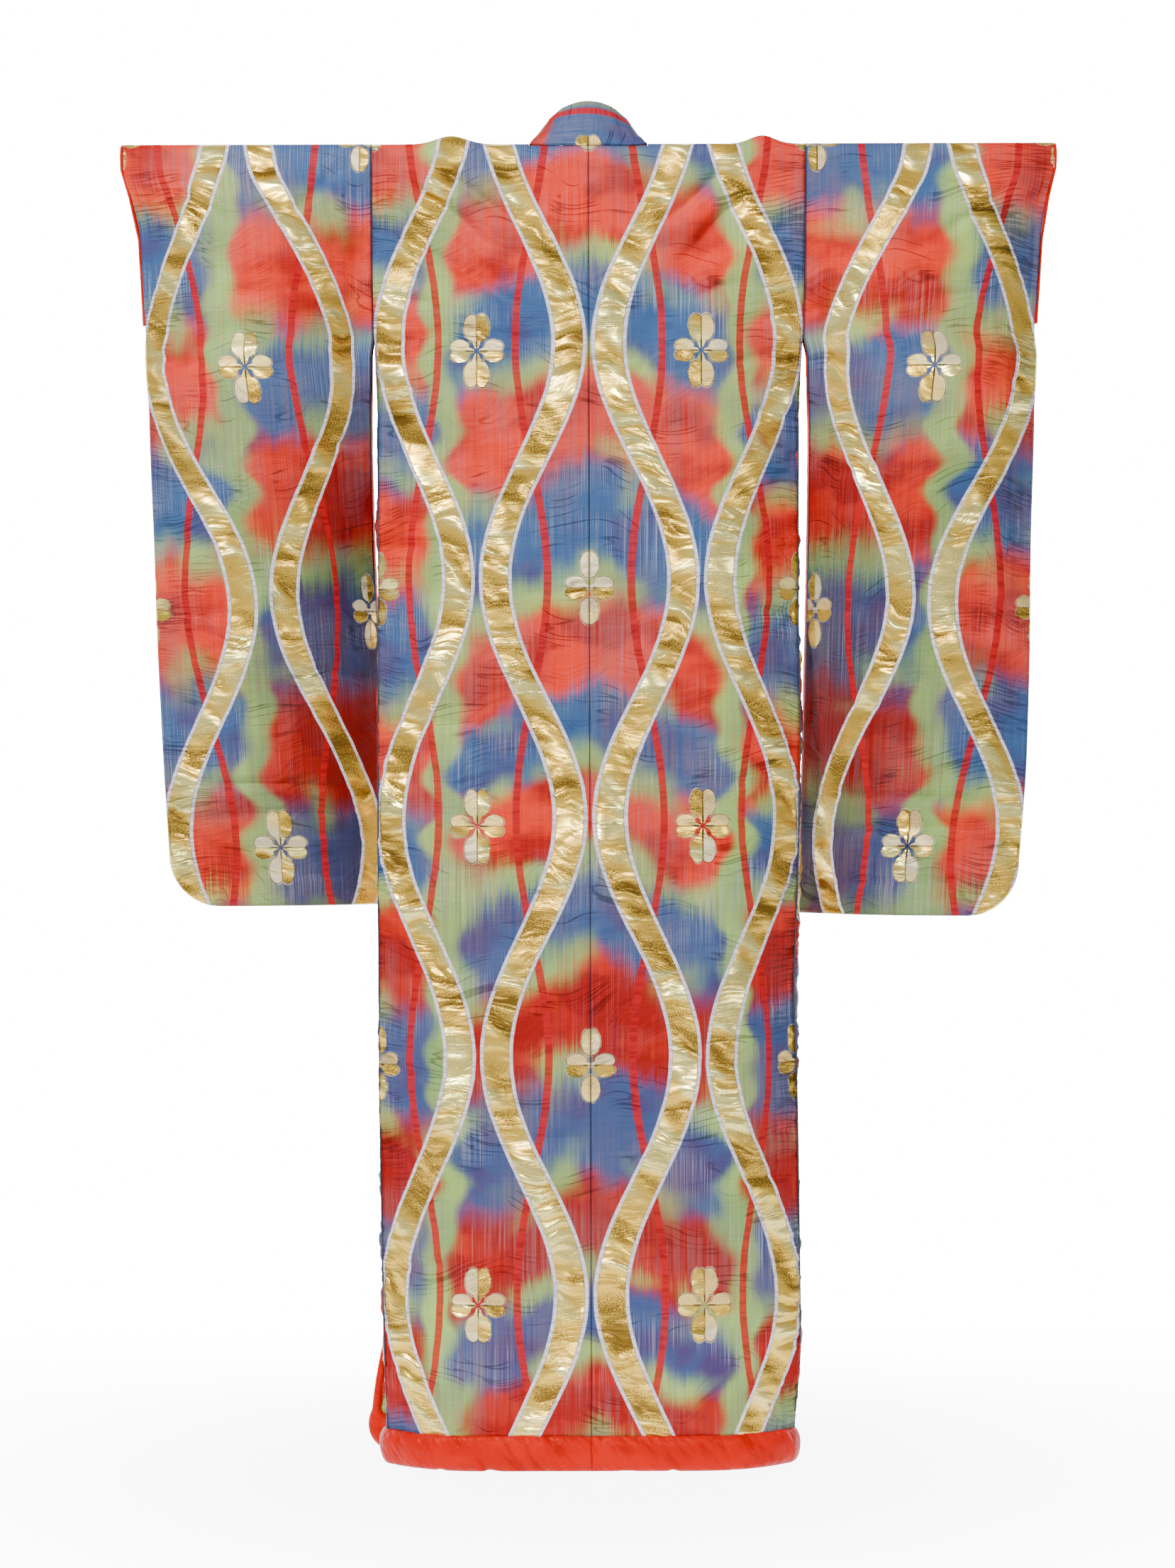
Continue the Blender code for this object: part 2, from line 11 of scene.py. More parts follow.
import bmesh
import bpy
import numpy as np
from bpy.props import FloatProperty, FloatVectorProperty, IntProperty, PointerProperty
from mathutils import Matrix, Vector


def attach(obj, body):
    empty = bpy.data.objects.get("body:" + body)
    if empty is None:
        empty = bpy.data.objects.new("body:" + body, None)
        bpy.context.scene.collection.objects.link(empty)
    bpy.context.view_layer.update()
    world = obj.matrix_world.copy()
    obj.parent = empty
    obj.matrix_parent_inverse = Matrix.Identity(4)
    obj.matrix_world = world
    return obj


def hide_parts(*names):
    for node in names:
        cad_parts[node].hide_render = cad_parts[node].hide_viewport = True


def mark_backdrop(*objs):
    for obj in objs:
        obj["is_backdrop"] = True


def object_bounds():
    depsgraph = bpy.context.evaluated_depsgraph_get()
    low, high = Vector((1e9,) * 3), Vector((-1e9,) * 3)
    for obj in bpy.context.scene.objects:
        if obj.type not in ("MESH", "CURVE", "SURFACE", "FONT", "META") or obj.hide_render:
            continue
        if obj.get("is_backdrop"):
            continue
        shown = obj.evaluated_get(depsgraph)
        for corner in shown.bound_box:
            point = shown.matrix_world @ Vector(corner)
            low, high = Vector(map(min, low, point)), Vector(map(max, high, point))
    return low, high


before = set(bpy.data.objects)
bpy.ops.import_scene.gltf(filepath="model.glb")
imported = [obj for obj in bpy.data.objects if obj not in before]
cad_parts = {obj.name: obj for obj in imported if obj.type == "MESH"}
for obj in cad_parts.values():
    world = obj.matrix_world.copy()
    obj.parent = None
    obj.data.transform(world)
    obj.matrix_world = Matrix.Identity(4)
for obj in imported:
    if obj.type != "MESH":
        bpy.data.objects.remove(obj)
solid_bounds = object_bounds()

bl_info = {
    "name": "Hung Uchikake",
    "version": (1, 0, 0),
    "blender": (4, 5, 0),
    "location": "3D View > Sidebar > Uchikake",
    "description": "Makes the silk, padding, trim and studio of an uchikake hung on a rod",
    "category": "Object",
}

# ---- Driving sizes, in metres

DRAPE_RADIUS = 0.017  # the cloth's middle surface where it lies over the rod
DRAPE = DRAPE_RADIUS * math.pi / 2  # cloth from the shoulder line to the rod's side

WALL = 0.0024  # outer cloth, wadding and lining together
COLLAR_WALL = 0.0030
SEAM_GAP = 0.0003
BENT_SEAM_GAP = 0.0008  # where two pieces meet at an angle, so that their corners stay clear
COLLAR_GAP = 0.0020  # the same for the collar's thicker band

BACK_HALF = 0.310  # one back panel, centre seam to side seam
NECK_HALF = 0.085
NECK_ANGLE = math.radians(-42)  # the back neckline's place on the drape
FRONT_WIDTH = BACK_HALF - NECK_HALF
HEM_SEAM = -1.8295
ARMHOLE = -0.255
ARMHOLE_EASE = 0.035  # the height over which the sleeve lets go of the body below the armhole
SIDE_SEAM_TOP = -0.400  # the open stretch under the armhole ends here

OVERLAP_WIDTH = 0.150  # the okumi, sewn to the front edge
OVERLAP_TOP = -0.255  # where its slanted edge would start
OVERLAP_FIRST = -0.290  # its cloth's upper end
OVERLAP_CORNER = 0.015  # its rounded lower corner
SEWN_STEP = (HEM_SEAM + OVERLAP_CORNER - SIDE_SEAM_TOP) / 18  # between two rows along the side seam
COLLAR_END = SIDE_SEAM_TOP + 5 * SEWN_STEP
COLLAR_WIDTH = 0.075

SLEEVE_WIDTH = 0.356
CUFF = ARMHOLE  # the cuff opens from the shoulder line to here
SLEEVE_CORNER = 0.070
SLEEVE_EDGE = 0.005  # half the depth of the sleeve's sewn edges
SLEEVE_FILLS = (0.20, 0.06)  # above its bottom and inside its outer edge it fills out over this
CUFF_EASE = 0.20  # the height below the cuff over which its gap comes to allow for its lean
EDGE_GRID = 0.00125  # the finer mesh there
SEAM_GRID = 0.004  # one narrow column beside a seam
SLEEVE_BOTTOM = {-1: -1.077, 1: -1.092}

HEM_ROLL_HEIGHT = 0.050
HEM_ROLL_DEPTH = 0.028
HEM_ROLL_INSET = 0.004  # how far its middle lies behind the cloth above it
ROLL_CAUGHT = 0.0022  # how far the panels' edges run into it
ROLL_SIDE_TURN = 0.006  # cloth that it cuts off on both sides of the side seam
ROLL_STEP = 0.0045  # from one ring of it to the next
ROLL_CORNER_RINGS = 14
GATHER_STEP = 0.0085  # round the hem from one gather to the next, at the roll's sewn edge
NOTCH_STEP = 0.0145  # the same at its outer edge
FRONT_ROLL = 0.014  # the padded roll where it turns up the front edge
FRONT_ROLL_HEIGHT = 4 * SEWN_STEP  # how far up the front edge it ends
FRONT_ROLL_TIP = 0.0025

PIPING_ABOVE = 0.012  # how far above the side seam's top it starts
PIPING_STEP = 0.008
PIPING_SWAY = 0.0003

LAPEL_TURN = 0.090  # cloth in the half turn of an opened front edge
PATH_STEP = 0.0025
PATH_LENGTH = 0.480

LEFT, RIGHT = -1, 1
SIDE_NAMES = {LEFT: "left", RIGHT: "right"}
BODY_SEED = {LEFT: 3, RIGHT: 11}
SLEEVE_SEED = {LEFT: 23, RIGHT: 31}
ROLL_SEED = {LEFT: 71, RIGHT: 83}
COLLAR_SEED = 57
PIPING_SEED = 91


# ---- Sections, one row for each height


def table(kind, *rows):
    return [kind(*row) for row in rows]


# depth of the centre seam, and the turn of the back panel's side, in degrees
Back = namedtuple("Back", "z centre_y turn_left turn_right")
BACK = table(
    Back,
    (0.00, -0.017, 0, 0),
    (-0.12, -0.018, 3, 4),
    (-0.26, -0.021, 12, 16),
    (-0.40, -0.027, 24, 29),
    (-0.65, -0.035, 26, 31),
    (-0.80, -0.039, 24, 28),
    (-1.00, -0.044, 24, 33),
    (-1.20, -0.049, 26, 42),
    (-1.32, -0.052, 27, 38),
    (-1.50, -0.056, 31, 35),
    (-1.70, -0.060, 36, 33),
    (-1.84, -0.065, 42, 45),
)
BACK_FLAT, BACK_TURN = 0.42, 0.58  # the shares of its width that hang straight across, and that turn

# gap between back and front at the side, the front's heading there in degrees, and how far along the cloth
# its edge is turned back like a lapel
Front = namedtuple("Front", "z side_gap start_left start_right lapel_left lapel_right")
FRONT = table(
    Front,
    (0.00, 0.034, 180, 180, 0.310, 0.310),
    (-0.12, 0.036, 176, 176, 0.300, 0.300),
    (-0.26, 0.036, 165, 165, 0.280, 0.280),
    (-0.40, 0.000, 120, 120, 0.262, 0.262),
    (-0.52, 0.000, 72, 110, 0.258, 0.258),
    (-0.68, 0.000, 110, 92, 0.252, 0.252),
    (-0.82, 0.000, 115, 72, 0.245, 0.245),
    (-1.20, 0.000, 112, 68, 0.222, 0.226),
    (-1.42, 0.000, 108, 104, 0.200, 0.206),
    (-1.70, 0.000, 84, 98, 0.163, 0.180),
    (-1.84, 0.000, 76, 90, 0.155, 0.170),
)
FRONT_EASE = 0.085  # cloth over which the front comes round to run inward

# the sleeve's inner edge in plan, half the gap between its layers, and how far its ends turn, in degrees
Sleeve = namedtuple("Sleeve", "z inner_x inner_y half_gap turn_in turn_out")
SLEEVES = {
    LEFT: table(
        Sleeve,
        (0.00, 0.3108, 0.000, 0.0170, 0, 0),
        (-0.02, 0.3108, 0.000, 0.0170, 4, 4),
        (-0.06, 0.3108, 0.000, 0.0170, 24, 22),
        (-0.12, 0.3108, 0.000, 0.0170, 34, 32),
        (-0.26, 0.3112, 0.000, 0.0160, 40, 34),
        (-0.42, 0.3140, 0.016, 0.0140, 47, 32),
        (-0.60, 0.3110, 0.050, 0.0120, 52, 24),
        (-0.85, 0.2960, 0.094, 0.0110, 48, 12),
        (-1.10, 0.2740, 0.116, 0.0100, 38, 6),
    ),
    RIGHT: table(
        Sleeve,
        (0.00, 0.3108, 0.000, 0.0170, 0, 0),
        (-0.02, 0.3108, 0.000, 0.0170, 4, 4),
        (-0.06, 0.3108, 0.000, 0.0170, 22, 20),
        (-0.12, 0.3108, 0.000, 0.0170, 30, 28),
        (-0.26, 0.3120, 0.000, 0.0160, 38, 30),
        (-0.42, 0.3170, 0.014, 0.0140, 46, 28),
        (-0.60, 0.3160, 0.044, 0.0120, 50, 22),
        (-0.85, 0.3120, 0.088, 0.0110, 50, 8),
        (-1.10, 0.3080, 0.120, 0.0100, 54, 0),
    ),
}
SEAM_HOLD = 0.040  # cloth beside the armhole seam that stays in line with the body
SEAM_LETS_GO = 0.12  # the height over which the sleeve comes free of it below the armhole

# the neck end of the collar: its seam edge and its free edge, from the centre back to the front
NECK = (
    ((0.0000, -0.0117, 0.0140), (0.0000, -0.0060, 0.0785)),
    ((0.0300, -0.0117, 0.0140), (0.0230, -0.0045, 0.0750)),
    ((0.0580, -0.0115, 0.0142), (0.0430, 0.0040, 0.0660)),
    ((0.0770, -0.0100, 0.0156), (0.0585, 0.0170, 0.0530)),
    ((0.0835, -0.0030, 0.0172), (0.0660, 0.0300, 0.0430)),
    ((0.0836, 0.0090, 0.0152), (0.0610, 0.0420, 0.0270)),
    ((0.0836, 0.0160, 0.0075), (0.0510, 0.0460, 0.0080)),
)
NECK_OPEN = (0.038, 0.028)  # how far the free edge stands out, and forward, of the fronts at the rod
NECK_CLOSES = 0.170  # the height over which it comes back to them
COLLAR_TURNS = len(NECK)  # stops past this one hang down the front edges
COLLAR_DROP = 0.050  # cloth to a stop there
COLLAR_FIRST_HUNG = -0.004

# a soft crease: its middle, run in degrees from upright, half length, half width and depth
Crease = namedtuple("Crease", "x z run length width depth")
BACK_CREASES = table(
    Crease,
    (0.205, -0.095, 50, 0.110, 0.020, 0.0050),
    (0.165, -0.150, 42, 0.130, 0.022, 0.0060),
    (0.120, -0.215, 35, 0.110, 0.020, 0.0040),
    (0.235, -0.300, 62, 0.070, 0.024, 0.0035),
    (0.150, -1.120, 84, 0.120, 0.024, 0.0030),
    (0.190, -1.560, 80, 0.100, 0.024, 0.0030),
)
SLEEVE_CREASES = table(
    Crease,
    (0.180, -0.180, 60, 0.100, 0.022, 0.0040),
    (0.150, -0.930, 88, 0.140, 0.020, 0.0035),
    (0.220, -1.015, 84, 0.110, 0.018, 0.0030),
)
SHOULDER_LIFT = {LEFT: (0.197, 0.030, 0.012), RIGHT: (0.250, 0.024, 0.012)}  # middle, half width, height


# ---- Curves and paths


def ease(t):
    """0 before 0, 1 after 1, and a smooth step between."""
    t = min(max(t, 0.0), 1.0)
    return t * t * (3 - 2 * t)


def read(rows, z, column):
    """A column's value at height z: a smooth curve through the rows, held level past both ends."""
    heights = [row.z for row in rows]
    values = [getattr(row, column) for row in rows]
    if z >= heights[0]:
        return values[0]
    if z <= heights[-1]:
        return values[-1]
    i = next(k for k in range(len(rows) - 1) if z >= heights[k + 1])

    def slope(k):
        if k in (0, len(rows) - 1):
            return 0.0
        before = (values[k] - values[k - 1]) / (heights[k] - heights[k - 1])
        after = (values[k + 1] - values[k]) / (heights[k + 1] - heights[k])
        return 0.0 if before * after <= 0 else 2 * before * after / (before + after)

    drop = heights[i + 1] - heights[i]
    t = (z - heights[i]) / drop
    return (
        values[i] * (1 + 2 * t) * (1 - t) ** 2
        + values[i + 1] * (3 - 2 * t) * t * t
        + drop * slope(i) * t * (1 - t) ** 2
        - drop * slope(i + 1) * (1 - t) * t * t
    )


class Path:
    """A walked plan path. Points and headings are read by distance along the cloth."""

    def __init__(self, x, y, heading):
        self.points = [(x, y)]
        self.heading = heading
        for k in range(round(PATH_LENGTH / PATH_STEP)):
            angle = heading((k + 0.5) * PATH_STEP)
            x += PATH_STEP * math.cos(angle)
            y += PATH_STEP * math.sin(angle)
            self.points.append((x, y))

    def at(self, distance):
        place = min(max(distance / PATH_STEP, 0.0), len(self.points) - 1.001)
        k = int(place)
        t = place - k
        (ax, ay), (bx, by) = self.points[k], self.points[k + 1]
        return ax + (bx - ax) * t, ay + (by - ay) * t

    def beside(self, distance, offset):
        """The point that lies offset to the path's outer side."""
        x, y = self.at(distance)
        angle = self.heading(distance)
        return x + offset * math.sin(angle), y - offset * math.cos(angle)


def named(side, stem):
    return f"{stem}_{SIDE_NAMES[side]}"


@lru_cache(maxsize=None)
def back_path(side, z):
    """From the centre seam to the side seam."""
    turn = math.radians(read(BACK, z, named(side, "turn")))

    def heading(w):
        return turn * ease((w / BACK_HALF - BACK_FLAT) / BACK_TURN)

    return Path(SEAM_GAP / 2, read(BACK, z, "centre_y"), heading)


@lru_cache(maxsize=None)
def front_path(side, z):
    """From the side seam inward, and past the lapel's turn outward again."""
    x, y = back_path(side, z).at(BACK_HALF)
    start = math.radians(read(FRONT, z, named(side, "start")))
    lapel = read(FRONT, z, named(side, "lapel"))

    def heading(w):
        inward = start + (math.pi - start) * ease(w / FRONT_EASE)
        return inward - math.pi * ease((w - lapel) / LAPEL_TURN)

    return Path(x, y + read(FRONT, z, "side_gap"), heading)


@lru_cache(maxsize=None)
def sleeve_path(side, z):
    """The line midway between the sleeve's layers, from its inner edge to its outer edge."""
    rows = SLEEVES[side]
    inner = math.radians(read(rows, z, "turn_in"))
    outer = math.radians(read(rows, z, "turn_out"))
    if z >= ARMHOLE:
        x, back_y = back_path(side, z).at(BACK_HALF)
        x += BENT_SEAM_GAP
        y = back_y + read(FRONT, z, "side_gap") / 2
    else:
        x, y = read(rows, z, "inner_x"), read(rows, z, "inner_y")

    held = ease((z - ARMHOLE) / SEAM_LETS_GO + 1)

    def heading(w):
        free = 1 - held * (1 - ease(w / SEAM_HOLD))
        return free * ((inner + outer) * ease(w / SLEEVE_WIDTH) - inner)

    return Path(x, y, heading)


def crease_place(crease, x, z):
    """Where a point lies along and across a crease, in its half lengths and in metres."""
    run = math.radians(crease.run)
    dx, dz = x - crease.x, z - crease.z
    along = (dx * math.sin(run) + dz * math.cos(run)) / crease.length
    return along, dx * math.cos(run) - dz * math.sin(run)


def crease_depth(creases, x, z):
    """How far the solids' own creases press the cloth in at a place on it."""
    depth = 0.0
    for crease in creases:
        along, across = crease_place(crease, x, z)
        depth += crease.depth * math.exp(-along * along - (across / crease.width) ** 2)
    return depth


# ---- The figure and the dye, laid on the flat cloth

BAND_STEP = 0.1546  # from one gold band's middle to the next across the cloth
CENTRE_STEP = 0.1668  # the same across the centre seam
BAND_HALF = 0.0180  # half a band's width
BAND_SWING = 0.330  # how far a band swings to each side, as a share of the step between two
LINE_SWING = 0.142  # the same for the thin red line between them
LINE_HALF = 0.0052
EDGING = 0.0053  # from a band's edge to its white edging's outer side
WAVE = 0.681  # one whole wave of a band along the cloth
BODY_WIDE = -0.270  # the height where the body's outer bands stand furthest out
SLEEVE_WIDE = -0.300
SLEEVE_STEP = 0.177  # from one sleeve band's middle to the next
SLEEVE_BAND_HALF = 0.0165
CENTRE_LINE = (0.0012, 0.0006)  # from the centre seam to the sewn line's outer side, and to its full blue
ARMHOLE_LINE = (0.0030, 0.0022)  # the same on a sleeve
SLEEVE_FIRST = 0.017  # the middle of the first cell, beside the armhole
COLLAR_STEP = 0.205
COLLAR_FIRST = -0.015
COLLAR_WIDE = 0.4824  # the turn of its wave at the centre back

# a column of dyed blots: the heights of its red ones, with a blue one between each two, how it slants
# about its middle, and where the next column takes over, and over how much cloth
Blots = namedtuple("Blots", "reds step slant middle edge fade")
BODY_REDS = (-0.102, -0.395, -0.740, -0.965, -1.260, -1.578, -1.810)
SIDE_REDS = (-0.010, -0.262, -0.550, -0.868, -1.135, -1.457, -1.725)
BODY_BLOTS = (
    Blots(BODY_REDS, 0.2866, 0.42, 0.11, 0.165, 0.055),
    Blots(SIDE_REDS, 0.2866, -0.10, 0.27, 0.205, 0.045),
)
SLEEVE_BLOTS = (
    Blots((-0.170, -0.493, -0.853), 0.331, 0.06, 0.11, 0.175, 0.055),
    Blots((-0.005, -0.330, -0.668, -0.998), 0.331, 0.0, 0.30, 0.215, 0.050),
)
UPRIGHT_PETAL, LEVEL_PETAL = (0.0530, 0.0185), (0.0385, 0.0165)  # a petal's reach and half width
FLOWER_MIDDLE = 0.0032  # the radius of its gold middle, which a white ring edges
COLLAR_BLOT_STEP = 0.33
COLLAR_BLUE = 0.12  # the neck's back is blue to here
BLOT_STEP = 0.30  # the even step that the material counts blots by


def blot_turn(column, w, level):
    """Whole at each red blot's height and a half between, counted up the cloth."""
    reds, level = column.reds, level + column.slant * (w - column.middle)
    if level > reds[0]:
        return (level - reds[0]) / column.step
    for k in range(len(reds) - 1):
        if level > reds[k + 1]:
            return (level - reds[k]) / (reds[k] - reds[k + 1]) - k
    return (level - reds[-1]) / column.step - len(reds) + 1


def stray(length):
    """How far the green between two columns of blots strays to one side."""
    return 0.011 * math.sin(31 * length + 2.5 * math.sin(13 * length)) + 0.006 * math.sin(83 * length)


def blots(columns, w, length):
    """The wave of two columns, as the two parts that the material joins again after it makes them bleed."""
    inner, outer = columns
    strayed = w + stray(length)
    shares = 1 - ease((strayed - inner.edge) / inner.fade), ease((strayed - outer.edge) / outer.fade)
    along = across = 0.0
    for column, share in zip(columns, shares):
        turn = 2 * math.pi * (blot_turn(column, w, length + DRAPE) - length / BLOT_STEP)
        along += share * math.cos(turn)
        across -= share * math.sin(turn)
    return along, across


def body_layout(w, length):
    """The figure's cell and wave, and the dye's two parts, at a place on a body panel."""
    near = abs(w)
    cell = near / CENTRE_STEP if near < CENTRE_STEP / 2 else 0.5 + (near - CENTRE_STEP / 2) / BAND_STEP
    return cell, (length + DRAPE - BODY_WIDE) / WAVE, *blots(BODY_BLOTS, near, length)


def okumi_layout(w, length):
    """As the body's, half a wave on, so the last band keeps clear of the front edge at the hem."""
    cell, turn, *dye = body_layout(w, length)
    return cell, turn + 0.5, *dye


def sleeve_layout(w, length):
    cell = (w - SLEEVE_FIRST) / SLEEVE_STEP
    return cell, (length + DRAPE - SLEEVE_WIDE) / WAVE, *blots(SLEEVE_BLOTS, w, length)


def collar_layout(w, length):
    """The neck's back is blue, green at its free edge and red to the left; the fronts have blots again."""
    share = w / COLLAR_WIDTH
    turn = 0.5 + 0.22 * ease((share - 0.80) / 0.15) + 0.5 * ease((-length - 0.035) / 0.04)
    turn += max(abs(length) - COLLAR_BLUE, 0.0) / COLLAR_BLOT_STEP - length / BLOT_STEP
    angle = 2 * math.pi * turn
    return (w - COLLAR_FIRST) / COLLAR_STEP, COLLAR_WIDE + length / WAVE, math.cos(angle), -math.sin(angle)


# ---- Folds and puckers, in metres out of the cloth

# the folds drawn from the neck to the underarm, the drag under the sleeves, and the sags lower down; a
# depth below zero is a ridge
BODY_FOLDS = {
    LEFT: table(
        Crease,
        (0.168, -0.052, 58, 0.070, 0.0085, 0.0046), (0.206, -0.078, 52, 0.075, 0.0095, 0.0040),
        (0.182, -0.118, 56, 0.060, 0.0100, -0.0026), (0.226, -0.142, 64, 0.065, 0.0080, 0.0034),
        (0.150, -0.185, 60, 0.052, 0.0075, 0.0022), (0.262, -0.205, 74, 0.050, 0.0070, 0.0028),
        (0.255, -0.262, 96, 0.046, 0.0060, 0.0024), (0.090, -0.262, 84, 0.050, 0.0070, 0.0015),
        (0.274, -0.330, 82, 0.040, 0.0060, 0.0026), (0.060, -0.470, 88, 0.060, 0.0065, 0.0012),
        (0.240, -0.560, 94, 0.060, 0.0065, 0.0020), (0.215, -0.815, 86, 0.085, 0.0070, 0.0020),
        (0.120, -1.020, 93, 0.090, 0.0060, 0.0014), (0.165, -1.322, 88, 0.120, 0.0080, 0.0022),
        (0.070, -1.410, 92, 0.060, 0.0070, 0.0014), (0.230, -1.590, 96, 0.070, 0.0070, 0.0020),
        (0.110, -1.730, 86, 0.080, 0.0070, 0.0014),
    ),
    RIGHT: table(
        Crease,
        (0.150, -0.060, 52, 0.066, 0.0090, 0.0044), (0.184, -0.098, 46, 0.070, 0.0090, 0.0030),
        (0.205, -0.140, 60, 0.060, 0.0100, -0.0022), (0.238, -0.120, 66, 0.058, 0.0075, 0.0030),
        (0.172, -0.196, 76, 0.050, 0.0070, 0.0018), (0.268, -0.232, 78, 0.050, 0.0070, 0.0028),
        (0.245, -0.290, 70, 0.050, 0.0065, 0.0020), (0.080, -0.310, 92, 0.046, 0.0065, 0.0012),
        (0.270, -0.372, 97, 0.040, 0.0060, 0.0026), (0.090, -0.520, 84, 0.055, 0.0065, 0.0012),
        (0.236, -0.655, 88, 0.070, 0.0070, 0.0022), (0.200, -0.900, 94, 0.080, 0.0070, 0.0018),
        (0.130, -1.140, 86, 0.080, 0.0060, 0.0014), (0.120, -1.300, 95, 0.100, 0.0075, 0.0020),
        (0.210, -1.470, 84, 0.080, 0.0070, 0.0018), (0.090, -1.650, 93, 0.080, 0.0070, 0.0014),
    ),
}
FRONT_FOLDS = table(
    Crease,
    (0.170, -0.070, 48, 0.070, 0.0090, 0.0036), (0.215, -0.130, 58, 0.065, 0.0085, 0.0030),
    (0.240, -0.260, 84, 0.050, 0.0070, 0.0020), (0.190, -0.610, 92, 0.080, 0.0070, 0.0016),
    (0.235, -0.980, 86, 0.070, 0.0070, 0.0018), (0.180, -1.350, 94, 0.080, 0.0070, 0.0016),
    (0.060, -1.150, 88, 0.080, 0.0070, 0.0014), (0.120, -1.600, 90, 0.090, 0.0070, 0.0014),
)
SLEEVE_FOLDS = {
    LEFT: table(
        Crease,
        (0.090, -0.060, 130, 0.070, 0.0090, 0.0030), (0.255, -0.070, 54, 0.060, 0.0090, 0.0026),
        (0.160, -0.200, 100, 0.080, 0.0080, 0.0016), (0.290, -0.300, 84, 0.050, 0.0070, 0.0020),
        (0.080, -0.420, 96, 0.060, 0.0070, 0.0020), (0.250, -0.560, 88, 0.070, 0.0070, 0.0014),
        (0.290, -0.660, 93, 0.060, 0.0060, 0.0018), (0.100, -0.740, 82, 0.070, 0.0070, 0.0018),
        (0.215, -0.902, 89, 0.130, 0.0055, 0.0030), (0.215, -0.945, 92, 0.140, 0.0050, 0.0022),
        (0.170, -0.984, 90, 0.100, 0.0055, -0.0018), (0.190, -1.030, 87, 0.110, 0.0060, 0.0020),
    ),
    RIGHT: table(
        Crease,
        (0.100, -0.055, 126, 0.070, 0.0090, 0.0028), (0.250, -0.085, 50, 0.060, 0.0090, 0.0028),
        (0.180, -0.215, 82, 0.080, 0.0080, 0.0016), (0.285, -0.330, 97, 0.050, 0.0070, 0.0020),
        (0.090, -0.455, 84, 0.060, 0.0070, 0.0020), (0.230, -0.600, 93, 0.070, 0.0070, 0.0014),
        (0.110, -0.790, 95, 0.070, 0.0070, 0.0020), (0.210, -0.925, 92, 0.130, 0.0055, 0.0028),
        (0.200, -0.968, 88, 0.120, 0.0050, 0.0022), (0.180, -1.045, 91, 0.110, 0.0060, 0.0020),
    ),
}
AT_HEM = 0.15  # the share of its folds that a panel keeps at the hem's seam
SMOOTH = 0.2  # how ruffled the lining is, where the hem's satin is 1


def rumple(across, along, seed):
    """Smooth noise from -1 to 1 with one value for each whole number."""

    def corner(i, j):
        value = np.sin(i * 127.1 + j * 311.7 + seed * 74.7) * 43758.5453
        return 2 * (value - np.floor(value)) - 1

    i, j = np.floor(across), np.floor(along)
    u, v = across - i, along - j
    u, v = u * u * (3 - 2 * u), v * v * (3 - 2 * v)
    low = corner(i, j) * (1 - u) + corner(i + 1, j) * u
    high = corner(i, j + 1) * (1 - u) + corner(i + 1, j + 1) * u
    return low * (1 - v) + high * v


def soft(value):
    """As ease, for many places at once."""
    value = np.clip(value, 0, 1)
    return value * value * (3 - 2 * value)


def close_to(distance, reach):
    """1 at a seam, falling away over about the reach."""
    return np.exp(-((distance / reach) ** 2))


def off_rod(length):
    """0 where the cloth lies on the rod and 1 where it hangs free."""
    return soft((np.abs(length) - DRAPE * 0.8) / 0.03)


def off_hem(z):
    return soft((z - HEM_SEAM) / 0.02)


def drawn_folds(rows, w, z):
    """Troughs, or ridges, that bend a little and start and end softly."""
    depth = np.zeros_like(w)
    for row in rows:
        along, across = crease_place(row, w, z)
        bend = 0.25 * row.width * np.sin(3.0 * along + row.x * 40)
        depth += row.depth * np.exp(-(along**4) - ((across + bend) / row.width) ** 2)
    return depth


def silk_surface(w, z, near_seam, seed, sizes):
    """What all the silk has: a slow swell, cross drags, and tight puckers where near_seam is 1."""
    swell = 0.0026 * rumple(w / 0.100, z / 0.150, seed) + 0.0016 * rumple(w / 0.060, z / 0.055, seed + 1)
    sway = rumple(w / 0.060, z / 0.080, seed + 2)
    drag = rumple(w / 0.060 + 0.3 * sway, z / 0.0125 + 0.8 * sway, seed + 3)
    fine = rumple(w / 0.022, z / 0.0068 + 0.6 * sway, seed + 4)
    pucker = rumple(w / 0.030, z / 0.0095 + 0.5 * sway, seed + 5)
    tight = sizes.pucker * near_seam
    return swell + sizes.drag * (drag + 0.5 * fine) + tight * (pucker + 0.4 * fine)


def body_push(side, sizes, w, length):
    z = DRAPE - np.abs(length)
    back = length < 0
    open_side = soft((SIDE_SEAM_TOP + 0.06 - z) / 0.10)
    near_seam = close_to(BACK_HALF - w, 0.034) * (0.35 + 0.65 * open_side)
    near_seam = near_seam + 0.30 * close_to(w, 0.026) * back
    lines = np.where(back, drawn_folds(BODY_FOLDS[side], w, z), drawn_folds(FRONT_FOLDS, w, z))
    lines = lines * soft((np.abs(length) - DRAPE - 0.004) / 0.02)
    out = silk_surface(w, length, near_seam, BODY_SEED[side], sizes) - sizes.fold * lines
    to_centre = soft(w / 0.014) * back + soft((w - NECK_HALF) / 0.02) * ~back
    to_sleeve = 1 - (1 - soft((BACK_HALF - w) / 0.03)) * soft((z - ARMHOLE + 0.02) / 0.02)
    to_hem = off_hem(z) * (0.2 + 0.8 * soft((BACK_HALF - w) / 0.007))
    return out * off_rod(length) * to_centre * to_sleeve * (AT_HEM + (1 - AT_HEM) * to_hem)


def okumi_push(side, sizes, w, length):
    z = DRAPE - length
    out = silk_surface(w, length, 0.25, BODY_SEED[side], sizes)
    out = out - sizes.fold * drawn_folds(FRONT_FOLDS, w, z)
    return out * soft((NECK_HALF - w) / 0.02) * (AT_HEM + (1 - AT_HEM) * off_hem(z))


